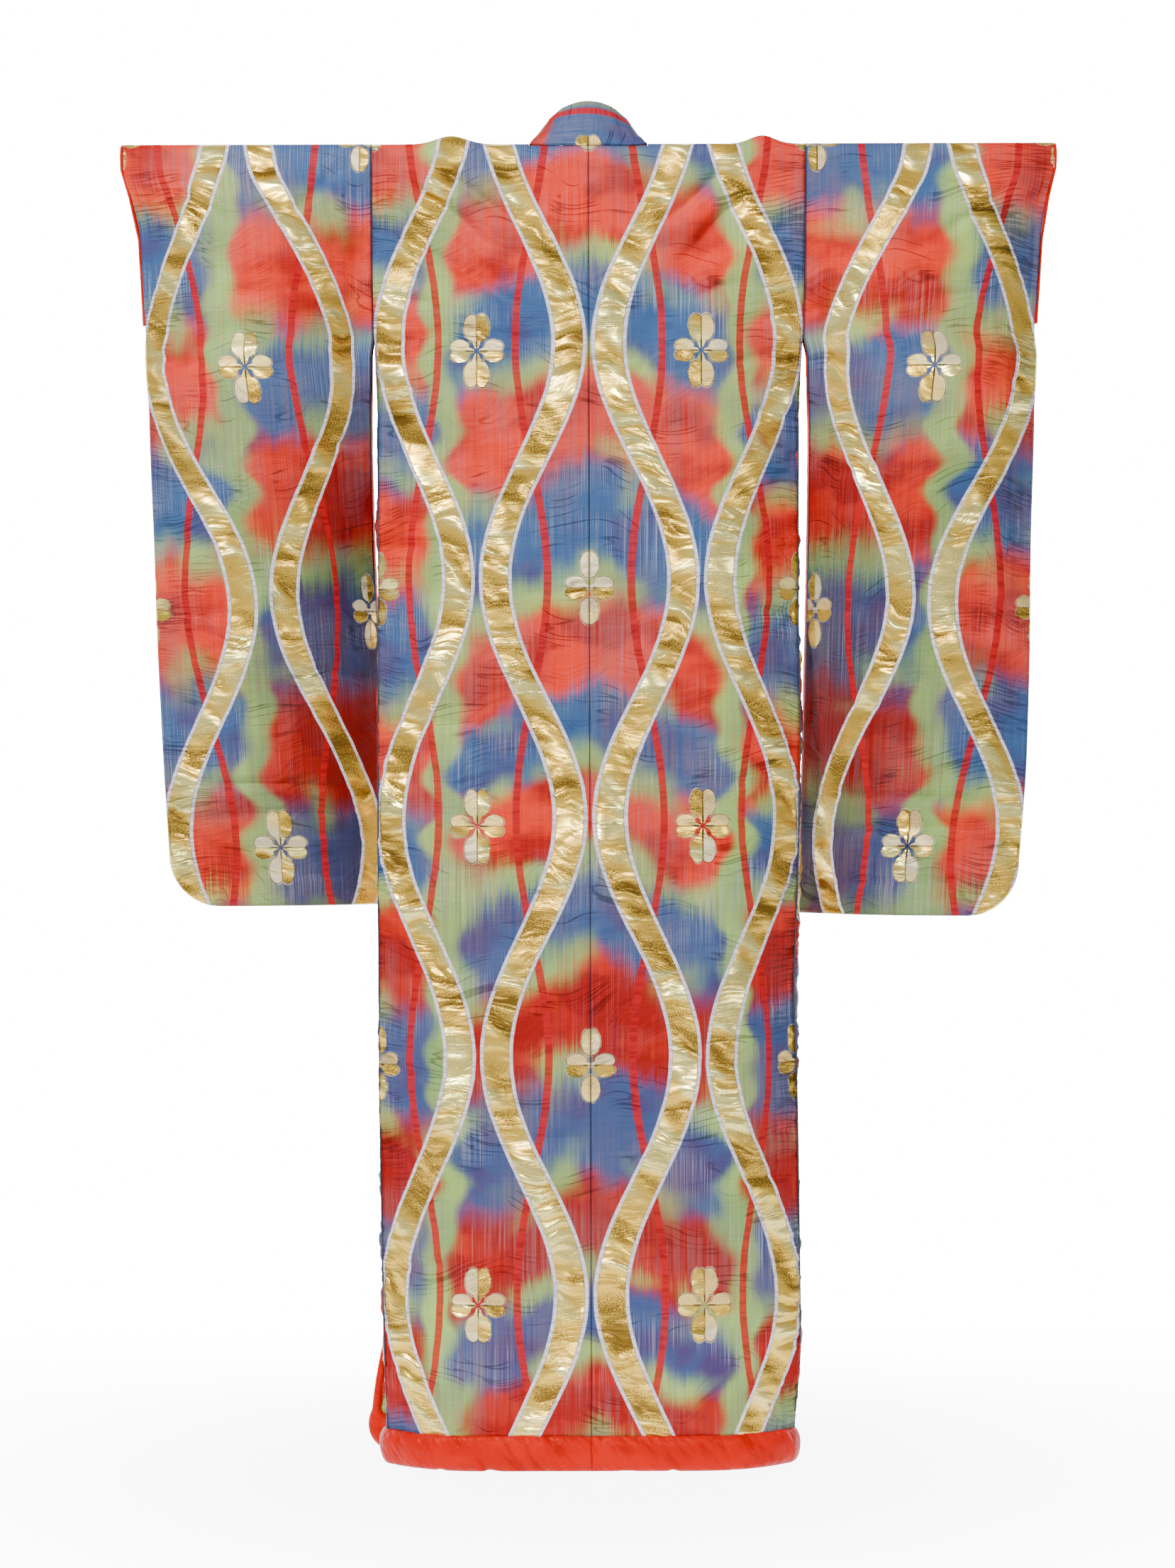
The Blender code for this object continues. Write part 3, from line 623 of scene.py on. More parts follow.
def sleeve_push(side, sizes, w, length):
    z = DRAPE - np.abs(length)
    bottom = SLEEVE_BOTTOM[side]
    cut = np.array([corner_inset(level, bottom, SLEEVE_CORNER) for level in z.tolist()])
    from_edge = np.minimum(SLEEVE_WIDTH - cut - w, z - bottom)
    near_seam = 0.6 * close_to(from_edge, 0.030) + 0.5 * close_to(w, 0.030)
    out = silk_surface(w, length, near_seam, SLEEVE_SEED[side], sizes)
    out = out - sizes.fold * drawn_folds(SLEEVE_FOLDS[side], w, z)
    to_body = soft(w / 0.03) + (1 - soft(w / 0.03)) * soft((ARMHOLE - z) / 0.03)
    to_edge = soft(from_edge / 0.012) * (0.25 + 0.75 * soft(w / 0.012))
    return out * off_rod(length) * to_body * to_edge * 0.9


def collar_push(sizes, w, length):
    return 0.7 * silk_surface(w, length, 0.3, COLLAR_SEED, sizes) * soft(w / 0.012)


# ---- Laying out and hanging a cloth


def span(start, end, step):
    """Even stops from start to end, about a step apart."""
    count = max(1, round(abs(end - start) / step))
    return [start + (end - start) * k / count for k in range(count + 1)]


def through(stops, step):
    """Even stops that pass through every given one."""
    line = [stops[0]]
    for start, end in zip(stops, stops[1:]):
        line += span(start, end, step)[1:]
    return line


def fill_grid(grid, columns, rows):
    """Makes an empty mesh a flat grid, and gives each of its vertices with its column and row."""
    bmesh.ops.create_grid(grid, x_segments=columns - 1, y_segments=rows - 1, size=1)
    for vertex in grid.verts:
        column = round((vertex.co.x + 1) / 2 * (columns - 1))
        yield vertex, column, round((vertex.co.y + 1) / 2 * (rows - 1))


def smooth_mesh(name, grid):
    mesh = bpy.data.meshes.new(name)
    grid.to_mesh(mesh)
    grid.free()
    mesh.shade_smooth()
    return mesh


def placed(name, data, *looks):
    """Puts new data into the scene as an object with its materials."""
    for look in looks:
        data.materials.append(look)
    made = bpy.data.objects.new(name, data)
    bpy.context.scene.collection.objects.link(made)
    return made


def hang(name, columns, rows, place, layout, push, looks, wall, cloth=None, keep=None, flip=False, weave=1):
    """A cloth from its flat grid: place hangs a grid point, layout gives its figure, push its folds.

    cloth turns a grid point into metres on the cloth, where the grid isn't laid in metres, and keep says
    which faces stay. flip turns its outer face round, and weave is -1 on a left piece, whose cloth map then
    runs the other way.
    """
    shape = (len(rows), len(columns))
    flat = np.array([[cloth(w, length) if cloth else (w, length) for w in columns] for length in rows])
    spots = np.array([[place(w, length) for w in columns] for length in rows])
    laid = np.array([[layout(*spot) for spot in line] for line in flat])
    down, along = np.gradient(spots, axis=0), np.gradient(spots, axis=1)
    facing = np.cross(along, down) * (-1 if flip else 1)
    facing /= np.maximum(np.linalg.norm(facing, axis=2, keepdims=True), 1e-12)
    out = push(flat[..., 0].ravel(), flat[..., 1].ravel()).reshape(shape)
    spots = (spots + facing * out[..., None]).reshape(-1, 3)

    grid = bmesh.new()
    index = grid.verts.layers.int.new("spot")
    for vertex, column, row in fill_grid(grid, len(columns), len(rows)):
        vertex[index] = row * len(columns) + column
        vertex.co = columns[column], rows[row], 0
    if keep:
        cut = [face for face in grid.faces if not keep(*face.calc_center_median().xy)]
        bmesh.ops.delete(grid, geom=cut, context="FACES")
    for vertex in grid.verts:
        vertex.co = spots[vertex[index]]
    grid.faces.ensure_lookup_table()
    first = grid.faces[0]
    first.normal_update()
    if first.normal.dot(Vector(facing.reshape(-1, 3)[first.verts[0][index]])) < 0:
        bmesh.ops.reverse_faces(grid, faces=grid.faces)
    mesh = smooth_mesh(name, grid)

    which = np.empty(len(mesh.vertices), dtype=np.int32)
    mesh.attributes["spot"].data.foreach_get("value", which)
    corner = np.empty(len(mesh.loops), dtype=np.int32)
    mesh.loops.foreach_get("vertex_index", corner)
    which = which[corner]
    laid, flat = laid.reshape(-1, 4), flat.reshape(-1, 2) * (weave, 1)
    for label, values in (("Cloth", flat), ("Figure", laid[:, :2]), ("Dye", laid[:, 2:])):
        layer = mesh.uv_layers.new(name=label)
        layer.uv.foreach_set("vector", values[which].astype(np.float32).ravel())
    made = placed(name, mesh, *looks)
    solid = made.modifiers.new("Cloth", "SOLIDIFY")
    solid.thickness = wall
    solid.offset = 0
    solid.material_offset = 1
    return made


# ---- Shaders


class Value:
    """A number in a material: arithmetic on it adds the Math nodes."""

    def __init__(self, look, socket):
        self.look, self.socket = look, socket

    def maths(self, operation, *others):
        values = dict(enumerate((self, *others)))
        return self.look.node("ShaderNodeMath", {"operation": operation}, values)

    def __add__(self, other):
        return self.maths("ADD", other)

    __radd__ = __add__

    def __mul__(self, other):
        return self.maths("MULTIPLY", other)

    __rmul__ = __mul__

    def __sub__(self, other):
        return self.maths("SUBTRACT", other)

    def __rsub__(self, other):
        return self.maths("MULTIPLY_ADD", -1, other)

    def __truediv__(self, other):
        return self.maths("DIVIDE", other)

    def __abs__(self):
        return self.maths("ABSOLUTE")

    def least(self, other):
        return self.maths("MINIMUM", other)

    def most(self, other):
        return self.maths("MAXIMUM", other)

    def rise(self, start, end):
        """0 up to start and 1 from end, with a soft step between them, either way round."""
        settings = {"interpolation_type": "SMOOTHSTEP"}
        low, high = (start, end) if start < end else (end, start)
        step = self.look.node("ShaderNodeMapRange", settings, {0: self, 1: low, 2: high})
        return step if start < end else 1 - step

    def inside(self, limit, soft):
        """1 below a limit and 0 above it, with an edge that is soft to both sides."""
        return self.rise(limit + soft, limit - soft)


class Look:
    """A material under construction. Its shader is one Principled BSDF."""

    def __init__(self, name, **constants):
        self.material = bpy.data.materials.new(name)
        self.material.use_nodes = True
        self.tree = self.material.node_tree
        self.finish(**constants)

    def node(self, kind, settings=None, sockets=None, output=0):
        made = self.tree.nodes.new(kind)
        for name, value in (settings or {}).items():
            setattr(made, name, value)
        for name, value in (sockets or {}).items():
            self.plug(made.inputs[name], value)
        return Value(self, made.outputs[output])

    def plug(self, socket, value):
        if isinstance(value, Value):
            self.tree.links.new(value.socket, socket)
        else:
            socket.default_value = value

    def split(self, place):
        """A vector's three numbers."""
        x = self.node("ShaderNodeSeparateXYZ", {}, {0: place})
        return x, *(Value(self, x.socket.node.outputs[k]) for k in (1, 2))

    def join(self, x, y, z=0.0):
        return self.node("ShaderNodeCombineXYZ", {}, {0: x, 1: y, 2: z})

    def map(self, name):
        """Both numbers of one of the cloth's flat maps."""
        return self.split(self.node("ShaderNodeUVMap", {"uv_map": name}))[:2]

    def spot(self):
        """A point's place on the piece, in metres."""
        return self.split(self.node("ShaderNodeTexCoord", {}, {}, "Object"))

    def noise(self, x, y, z=0.0, detail=1.0, rough=0.5):
        sockets = {"Vector": self.join(x, y, z), "Scale": 1.0, "Detail": detail, "Roughness": rough}
        return self.node("ShaderNodeTexNoise", {"noise_dimensions": "3D"}, sockets)

    def blend(self, factor, under, over, how="MIX"):
        settings = {"data_type": "RGBA", "blend_type": how}
        return self.node("ShaderNodeMix", settings, {0: factor, 6: under, 7: over}, 2)

    def bump(self, height, distance, strength, normal=None):
        sockets = {"Height": height, "Distance": distance, "Strength": strength}
        if normal:
            sockets["Normal"] = normal
        return self.node("ShaderNodeBump", {}, sockets)

    def finish(self, **values):
        """Plugs numbers, colours or links into the shader's sockets."""
        shader = self.tree.nodes["Principled BSDF"]
        for name, value in values.items():
            self.plug(shader.inputs[name.replace("_", " ").title().replace("Ior", "IOR")], value)
        return self.material


class Silk(Look):
    """A look whose marks lie on the flat cloth."""

    def __init__(self, name, **constants):
        super().__init__(name, **constants)
        self.w, self.length = self.map("Cloth")

    def marks(self, across, along, seed, detail=1.0):
        """Noise with about so many marks a metre across and along the cloth."""
        return self.noise(self.w * across, self.length * along, seed, detail)


def paint(colour, strength=1.0):
    return (*(min(part * strength, 1.0) for part in colour), 1.0)


def grey(level):
    return (level, level, level, 1)


def wave(value):
    """From -1 to 1 and back, once for each whole number."""
    return (value * (2 * math.pi)).maths("COSINE")


def ribs(value, steps):
    """Even ridges from 0 to 1."""
    return (value * steps).maths("SINE") * 0.5 + 0.5


def fraction(value):
    return value - value.maths("FLOOR")


def far_from_middle(x, y):
    return (x * x + y * y).maths("SQRT")


def dyed_ground(silk, colours, inner):
    """Blots of dye that bleed along the warp: red and blue in turn on green, with painted shade beside the
    body as much as inner asks.
    """
    w, length = silk.w, silk.length
    along, across = silk.map("Dye")
    thread, bundle, drift = silk.marks(560, 4, 1), silk.marks(150, 4, 5), silk.marks(13, 9, 9, 2)
    bleed = (thread - 0.5) * 0.12 + (bundle - 0.5) * 0.05 + (drift - 0.5) * 0.22
    at = length / BLOT_STEP + bleed
    level = along * wave(at) + across * wave(at - 0.25)
    level = level + (silk.marks(15, 9, 3) - 0.5) * 0.85 + (thread - 0.5) * 0.42

    # painted shade: lower down beside the body, the cloth is drawn deeper red, violet and greyer green
    shadow = abs(w).rise(0.31, 0.05) * abs(length).rise(0.20, 0.80) * inner
    low = length.rise(0.9, 1.35).most(length.rise(-0.95, -1.30))
    worn = silk.marks(10, 15, 17, 2).rise(0.40, 0.64)
    deep_dye_and_shade = (low * 0.80 + worn * 0.80 + (bundle - 0.5) * 0.6 + shadow).least(1.0).most(0.0)
    red = silk.blend(deep_dye_and_shade, paint(colours.coral), paint(colours.red))
    dusk = silk.marks(11, 10, 14, 2).rise(0.46, 0.66)
    dusk = (dusk * 0.62 + shadow * 0.6 + low * 0.35).least(1.0)
    blue = silk.blend(dusk, paint(colours.blue), paint(colours.violet))
    faded_and_shade = (silk.marks(10, 8, 21).rise(0.30, 0.70) + shadow).least(1.0)
    green = silk.blend(faded_and_shade, paint(colours.green), paint(colours.sage))
    ground = silk.blend(level.rise(-0.46, 0.46), blue, red)
    veil = silk.marks(330, 3, 23).rise(0.48, 0.72) * silk.marks(8, 7, 24).rise(0.36, 0.60)
    green = silk.blend(veil * 0.42, green, ground)

    # green shows between the columns of blots, and here and there between two blots of one column
    strength = far_from_middle(along, across)
    patch = silk.marks(9, 7, 31).rise(0.42, 0.60)
    shown = (patch * 0.85 + strength.rise(0.80, 0.30)).least(1.0)
    ground = silk.blend(abs(level).rise(0.86, 0.06) * shown, ground, green)

    # single warps stay pale, take both dyes, or turn violet
    bare = silk.marks(7, 11, 44).rise(0.40, 0.66) * (0.35 + level.rise(0.3, -0.3) * 0.65)
    pale = silk.marks(760, 6, 40).rise(0.46, 0.78) * bare
    ground = silk.blend(pale * 0.42, ground, paint(colours.thread))
    both = silk.marks(7, 6, 46).rise(0.44, 0.64) * silk.marks(240, 3, 45).rise(0.30, 0.66)
    ground = silk.blend(both * 0.42, ground, paint(colours.dun))
    strand = silk.marks(420, 5, 47).rise(0.58, 0.74) * silk.marks(9, 9, 48).rise(0.45, 0.65)
    ground = silk.blend(strand * 0.30, ground, paint(colours.violet))
    # painted shade: the ground darkens toward black beside the body
    ground = silk.blend(shadow * 0.40, ground, grey(0.0))
    weft = silk.blend(silk.marks(12, 620, 50), grey(0.30), grey(0.80))
    return silk.blend(0.30, ground, weft, "SOFT_LIGHT")


def petal(along, across, reach, half):
    """Below 1 inside a petal with two lobes that starts at the flower's middle."""
    lobe_at = reach * 0.63
    lobes = far_from_middle((along - lobe_at) / (reach * 0.37), (across - half * 0.40) / (half * 0.62))
    neck = across / (along * 0.46 + 0.0006)
    neck = neck + (along - lobe_at).rise(0.0, 0.002) * 9 + along.rise(0.004, 0.001) * 9
    return lobes.least(neck)


def flower(silk, cell, turn, step):
    """A four-petalled flower in the middle of each wide cell: its mask, two tones, veins and middle."""
    nearest = (cell + 0.5).maths("FLOOR")
    odd = abs(nearest).maths("MODULO", 2)
    a = (cell - nearest) * step
    b = (fraction(turn + odd * 0.5 + 0.0176) - 0.5) * WAVE
    # the first one is cut by a seam, which takes a little of its middle
    wide, tall = abs(a) + nearest.rise(0.6, 0.4) * 0.006, abs(b)
    upright = petal(tall, wide, *UPRIGHT_PETAL)
    level = petal(wide, tall, *LEVEL_PETAL)
    standing = (level - upright).rise(-0.02, 0.02)
    tone = silk.blend(standing, silk.join(b, b, b), silk.join(a, a, a))
    pale = silk.split(tone)[0].rise(-0.0012, 0.0012)
    vein = silk.split(silk.blend(standing, silk.join(tall, wide), silk.join(wide, tall)))
    line = vein[0].rise(0.0016, 0.0008) * vein[1].rise(0.019, 0.013)
    return upright.least(level), pale, line, far_from_middle(a, b)


def figured_silk(name, colours, step, half=BAND_HALF, seam=None, inner=0.0):
    """The robe's silk: dyed ground, red lines, gold bands edged in white, and gold and silver flowers.

    step is the cloth from one gold band to the next, half is half a band's width, seam is how near the
    first edge the sewn line starts and ends, and inner is how much painted shade the cloth takes beside the
    body.
    """
    silk = Silk(name, specular_ior_level=0.12)
    w, length = silk.w, silk.length
    cell, turn = silk.map("Figure")

    at = cell.maths("FLOOR").most(0)
    way = 1 - at.maths("MODULO", 2) * 2
    swing = wave(turn) * way
    place = cell - at - 0.5
    wobble = (silk.noise(w * 3, length * 26, 60.0) - 0.5) * 0.012
    from_band = abs(place + swing * BAND_SWING + wobble) * step
    from_line = abs(place - swing * LINE_SWING + wobble) * step

    rungs = silk.marks(8, 150, 62).rise(0.46, 0.64) * 0.55
    line = silk.blend(rungs, paint(colours.line), paint(colours.line, 0.42))
    ground = dyed_ground(silk, colours, inner)
    colour = silk.blend(from_line.inside(LINE_HALF, 0.0006) * 0.90, ground, line)

    white = from_band.inside(half + EDGING, 0.0007)
    cord = silk.marks(30, 240, 64).rise(0.35, 0.65)
    colour = silk.blend(white, colour, silk.blend(cord, paint(colours.cord), paint(colours.cord, 0.66)))
    gold = from_band.inside(half, 0.0004)

    # foil shows each pucker as light or dark metal: painted highlight and painted shade in its colour, over
    # the bump's real relief
    sway = silk.marks(12, 9, 70)
    patch = silk.noise(w * 7, length * 15 + w * 9 + sway, 72.0)
    crumple = silk.noise(w * 7 + sway, length * 50 + w * 4 + sway * 3, 71.0)
    ruffled = silk.marks(6, 10, 73).rise(0.44, 0.60)
    grain = silk.marks(430, 430, 75)
    shine = (crumple - 0.5) * (0.20 + ruffled * 1.10) + patch.rise(0.38, 0.62) * 0.44
    shine = shine + (grain - 0.5) * 0.62 + 0.28
    foil = silk.blend(shine.rise(0.16, 0.46), paint(colours.foil_shade_and_outline), paint(colours.gold))
    foil = silk.blend(shine.rise(0.56, 0.76), foil, paint(colours.glint))

    shape, pale, vein, middle = flower(silk, cell, turn, step)
    bloom = shape.rise(1.0, 0.95)
    silver = silk.blend(patch.rise(0.40, 0.60), paint(colours.silver), paint(colours.silver, 0.78))
    petals = silk.blend(pale * (0.30 + ruffled * 0.60), foil, silver)
    # the petals' woven outline takes the colour of the foil's painted shade
    petals = silk.blend(shape.rise(0.84, 1.0) * 0.45, petals, paint(colours.foil_shade_and_outline))
    petals = silk.blend(vein * 0.75, petals, paint(colours.navy, 1.6))
    petals = silk.blend(middle.inside(FLOWER_MIDDLE, 0.0004), petals, foil)
    ring = abs(middle - FLOWER_MIDDLE).inside(0.0010, 0.0004)
    petals = silk.blend(ring, petals, paint(colours.cord))
    fringe = shape.rise(1.14, 1.02) * (1 - bloom) * silk.marks(60, 60, 77).rise(0.40, 0.60)
    colour = silk.blend(gold, colour, foil)
    colour = silk.blend(fringe * 0.55 * (1 - gold), colour, silver)
    colour = silk.blend(bloom, colour, petals)
    metal = gold.most(bloom * (1 - pale * 0.55))
    if seam:
        edge = abs(w).rise(*seam)
        colour = silk.blend(edge * 0.70, colour, paint(colours.navy))
        metal = metal * (1 - edge)

    # long thin creases lie across the cloth, most of them near the seams and in the foil; each is a bump
    # with painted shade along it
    sag = silk.marks(6, 5, 82)
    puckers = silk.noise(w * 12 + sway * 2, length * 50 + sway * 6, 80.0, 3.0, 0.6)
    crease = abs(silk.noise(w * 5 + sag * 2, length * 62 + sag * 9, 83.0) - 0.5).rise(0.030, 0.0)
    crease = crease * silk.marks(15, 15, 84).rise(0.50, 0.66)
    fine = abs(silk.noise(w * 9, length * 150 + sag * 12, 85.0) - 0.5).rise(0.050, 0.0)
    tight = abs(w).rise(0.240, 0.300) * 0.94 + metal * 0.40
    crease = crease.most(fine * (0.06 + tight).least(1.0) * silk.marks(12, 14, 86).rise(0.42, 0.62))
    # painted shade along the creases
    colour = silk.blend(crease * 0.50, colour, grey(0.0))

    normal = silk.bump((puckers - crease * 0.30) * (1 - metal * 0.5), 0.0040, 0.85)
    normal = silk.bump((crumple * (0.25 + ruffled * 1.0) + patch * 2.2) * metal, 0.0120, 1.0, normal)
    normal = silk.bump(gold * 0.5 + white * 0.5 + bloom, 0.0006, 0.8, normal)
    normal = silk.bump(ribs(length, 1250) * (1 - metal), 0.00012, 0.5, normal)
    rough = 0.58 - metal * (0.27 + shine.rise(0.50, 0.75) * 0.06) - white * (1 - metal) * 0.05
    return silk.finish(base_color=colour, roughness=rough, metallic=metal * 0.70, normal=normal)


def satin(name, colours, ruffled=1.0):
    """Plain red satin: long floats across the cloth with a painted sheen along them, soft puckers and
    painted shade in its folds.
    """
    look = Look(name, specular_ior_level=0.32, specular_tint=(1.0, 0.16, 0.08, 1.0))
    x, y, z = look.spot()
    floats = look.noise(x * 700, y * 700, z * 90)
    slow = look.noise(x * 22, y * 22, z * 30, 2.0)
    shade = look.blend(slow.rise(0.30, 0.70), paint(colours.satin, 0.86), paint(colours.satin, 1.06))
    # painted sheen: the satin's lit colour along the floats
    shade = look.blend(floats * 0.18, shade, paint(colours.glow))
    folds = look.noise((x + z * 0.7) * 62, y * 62, z * 24, 2.0)
    # painted shade in the folds
    shade = look.blend(folds.rise(0.50, 0.30) * 0.40 * ruffled, shade, paint(colours.satin, 0.45))
    normal = look.bump(floats, 0.0002, 0.4, look.bump(folds, 0.0060, 0.8 * ruffled))
    return look.finish(base_color=shade, roughness=0.30 + slow * 0.12, normal=normal)


def twisted_cord(name, colour):
    """Thin bias piping: tight ribs round it."""
    look = Look(name, sheen_weight=0.2)
    x, _, z = look.spot()
    fleck = look.noise(x * 900, z * 260, 3.0)
    shade = look.blend(fleck.rise(0.4, 0.7), paint(colour), paint(colour, 1.9))
    return look.finish(base_color=shade, roughness=0.62, normal=look.bump(ribs(x + z, 3800), 0.0002, 0.5))


def planed_wood(name, colour):
    """A plain rod: fine grain along it."""
    look = Look(name)
    x, y, z = look.spot()
    warp = look.noise(x * 3, y * 30, z * 30, 2.0)
    grain = look.noise(x * 5, y * 240 + warp * 5, z * 240 + warp * 5, 3.0)
    shade = look.blend(grain.rise(0.35, 0.65), paint(colour, 0.68), paint(colour))
    relief = look.bump(grain, 0.0003, 0.4)
    return look.finish(base_color=shade, roughness=0.46 + grain * 0.14, normal=relief)


# ---- Where the pieces hang


def over_rod(length):
    """Depth and height of cloth that lies over the rod."""
    angle = length / DRAPE_RADIUS
    return DRAPE_RADIUS * math.sin(angle), DRAPE_RADIUS * math.cos(angle)


def place_body(side, w, length):
    """w runs from the centre seam to the side seam, length from the shoulder line, minus on the back."""
    if abs(length) < DRAPE:
        middle, half, height = SHOULDER_LIFT[side]
        y, z = over_rod(length)
        lift = height * math.exp(-(((w - middle) / half) ** 2)) * z / DRAPE_RADIUS
        return side * (w + SEAM_GAP / 2), y, z + lift
    z = DRAPE - abs(length)
    if length > 0:
        x, y = front_path(side, z).at(BACK_HALF - w)
        return side * x, y, z
    x, y = back_path(side, z).at(w)
    inside = ease(w / 0.04) * ease((BACK_HALF - w) / 0.05)
    return side * x, y + inside * crease_depth(BACK_CREASES, w, z), z


def place_panel(side, w, length):
    """As place_body, but the two panels meet at the centre seam."""
    x, y, z = place_body(side, w, length)
    return x if w else 0.0, y, z


def front_edge(z):
    """Cloth from the side seam to the edge that the collar, and below it the padded roll, is sewn to."""
    slant = (OVERLAP_TOP - z) / (OVERLAP_TOP - COLLAR_END)
    return FRONT_WIDTH + OVERLAP_WIDTH * min(max(slant, 0.0), 1.0)


def corner_inset(z, low, radius):
    """How far a rounded lower corner keeps a piece's edge in at height z."""
    rise = radius - (z - low)
    return radius - math.sqrt(max(radius * radius - max(rise, 0.0) ** 2, 0.0))


def overlap_reach(z):
    """The okumi's cloth at height z, from its seam to its edge, as distances from the side seam."""
    edge = front_edge(z) - corner_inset(z, HEM_SEAM, OVERLAP_CORNER)
    return FRONT_WIDTH + BENT_SEAM_GAP, edge


def overlap_cloth(share, length):
    """A share of the okumi's width as cloth from the middle of the front."""
    start, edge = overlap_reach(DRAPE - length)
    return NECK_HALF - BENT_SEAM_GAP - share * (edge - start), length


def place_okumi(side, share, length):
    z = DRAPE - length
    start, edge = overlap_reach(z)
    x, y = front_path(side, z).at(start + share * (edge - start))
    return side * x, y, z


def place_collar(share, stop):
    """share runs from the seam to the free edge, stop from the left end round the neck to the right one."""
    side = LEFT if stop < 0 else RIGHT
    stop = abs(stop)

    def neck(k):
        seam, free = NECK[abs(k)]
        x, y, z = (a + (b - a) * share for a, b in zip(seam, free))
        return (-x if k < 0 else x), y, z

    if stop < COLLAR_TURNS - 1:
        k, t = int(stop), stop - int(stop)
        rows = (neck(k - 1), neck(k), neck(k + 1), neck(min(k + 2, COLLAR_TURNS - 1)))
        x, y, z = (
            b + 0.5 * t * (c - a + t * (2 * a - 5 * b + 4 * c - d + t * (3 * (b - c) + d - a)))
            for a, b, c, d in zip(*rows)
        )
        return side * x, y, z
    z = COLLAR_FIRST_HUNG - max(stop - COLLAR_TURNS, 0.0) * COLLAR_DROP
    x, y = front_path(side, z).at(front_edge(z) + COLLAR_GAP + share * COLLAR_WIDTH)
    stand = share * (1 - ease(-z / NECK_CLOSES))
    x, y = x + stand * NECK_OPEN[0], y + stand * NECK_OPEN[1]
    if stop < COLLAR_TURNS:
        t = stop - COLLAR_TURNS + 1
        x, y, z = (a * (1 - t) + b * t for a, b in zip(neck(COLLAR_TURNS - 1), (x, y, z)))
    return side * x, y, z


def sewn_depth(distance):
    """The rounded edge where two layers are sewn together: 0 at the seam, 1 from SLEEVE_EDGE in."""
    t = min(max(distance / SLEEVE_EDGE, 0.0), 1.0)
    return math.sqrt(t * (2 - t))


def sleeve_half_gap(side, w, z):
    """Half the gap between the sleeve's layers, measured straight away from the back."""
    joined = ease((z - ARMHOLE + ARMHOLE_EASE) / ARMHOLE_EASE)
    if joined == 1:
        return read(FRONT, z, "side_gap") / 2
    above = z - SLEEVE_BOTTOM[side]
    from_edge = SLEEVE_WIDTH - corner_inset(z, SLEEVE_BOTTOM[side], SLEEVE_CORNER) - w
    from_seam = min(above, from_edge)
    if above < SLEEVE_CORNER and w > SLEEVE_WIDTH - SLEEVE_CORNER:
        from_middle = math.hypot(w - SLEEVE_WIDTH + SLEEVE_CORNER, SLEEVE_CORNER - above)
        from_seam = min(from_seam, max(SLEEVE_CORNER - from_middle, 0.0))
    open_gap = read(SLEEVES[side], z, "half_gap") - SLEEVE_EDGE
    rise, side_in = SLEEVE_FILLS
    half = SLEEVE_EDGE + open_gap * ease(above / rise) * ease(from_edge / side_in)
    lean = 1 / math.cos(sleeve_path(side, z).heading(w)) - 1
    free = half * sewn_depth(from_seam) * (1 + lean * ease((CUFF - z) / CUFF_EASE))
    return free + (read(FRONT, ARMHOLE, "side_gap") / 2 - free) * joined


def within_corner(side, w, z):
    """Where the grid's w lies on the cloth, whose lower corner is cut round."""
    inset = corner_inset(z, SLEEVE_BOTTOM[side], SLEEVE_CORNER)
    return w * (1 - inset / SLEEVE_WIDTH) if w < SLEEVE_WIDTH - SLEEVE_EDGE else w - inset


def sleeve_cloth(side, w, length):
    return within_corner(side, w, DRAPE - abs(length)), length


def place_sleeve(side, w, length):
    """w runs from the armhole to the cuff, length from the shoulder line, below zero on the back."""
    if abs(length) < DRAPE:
        x = back_path(side, 0.0).at(BACK_HALF)[0] + BENT_SEAM_GAP + w
        return side * x, *over_rod(length)
    z = DRAPE - abs(length)
    inset = corner_inset(z, SLEEVE_BOTTOM[side], SLEEVE_CORNER)
    w = within_corner(side, w, z)
    if ARMHOLE - ARMHOLE_EASE < z < ARMHOLE:
        t = ease((ARMHOLE - z) / ARMHOLE_EASE)
        (x, y), (low_x, low_y) = (sleeve_path(side, ARMHOLE - drop).at(w) for drop in (0.0, ARMHOLE_EASE))
        x, y = x + (low_x - x) * t, y + (low_y - y) * t
    else:
        x, y = sleeve_path(side, z).at(w)
    inside = ease(w / 0.05) * ease((SLEEVE_WIDTH - inset - w) / 0.05)
    inside *= ease((z - SLEEVE_BOTTOM[side]) / 0.06)
    half = sleeve_half_gap(side, w, z) - 0.5 * inside * crease_depth(SLEEVE_CREASES, w, z)
    return side * x, y + math.copysign(half, length), z


# ---- The padded roll

# which path a ring follows, its inner and outer edge as (distance, height), and its depth and inset
Station = namedtuple("Station", "path inner outer depth inset")


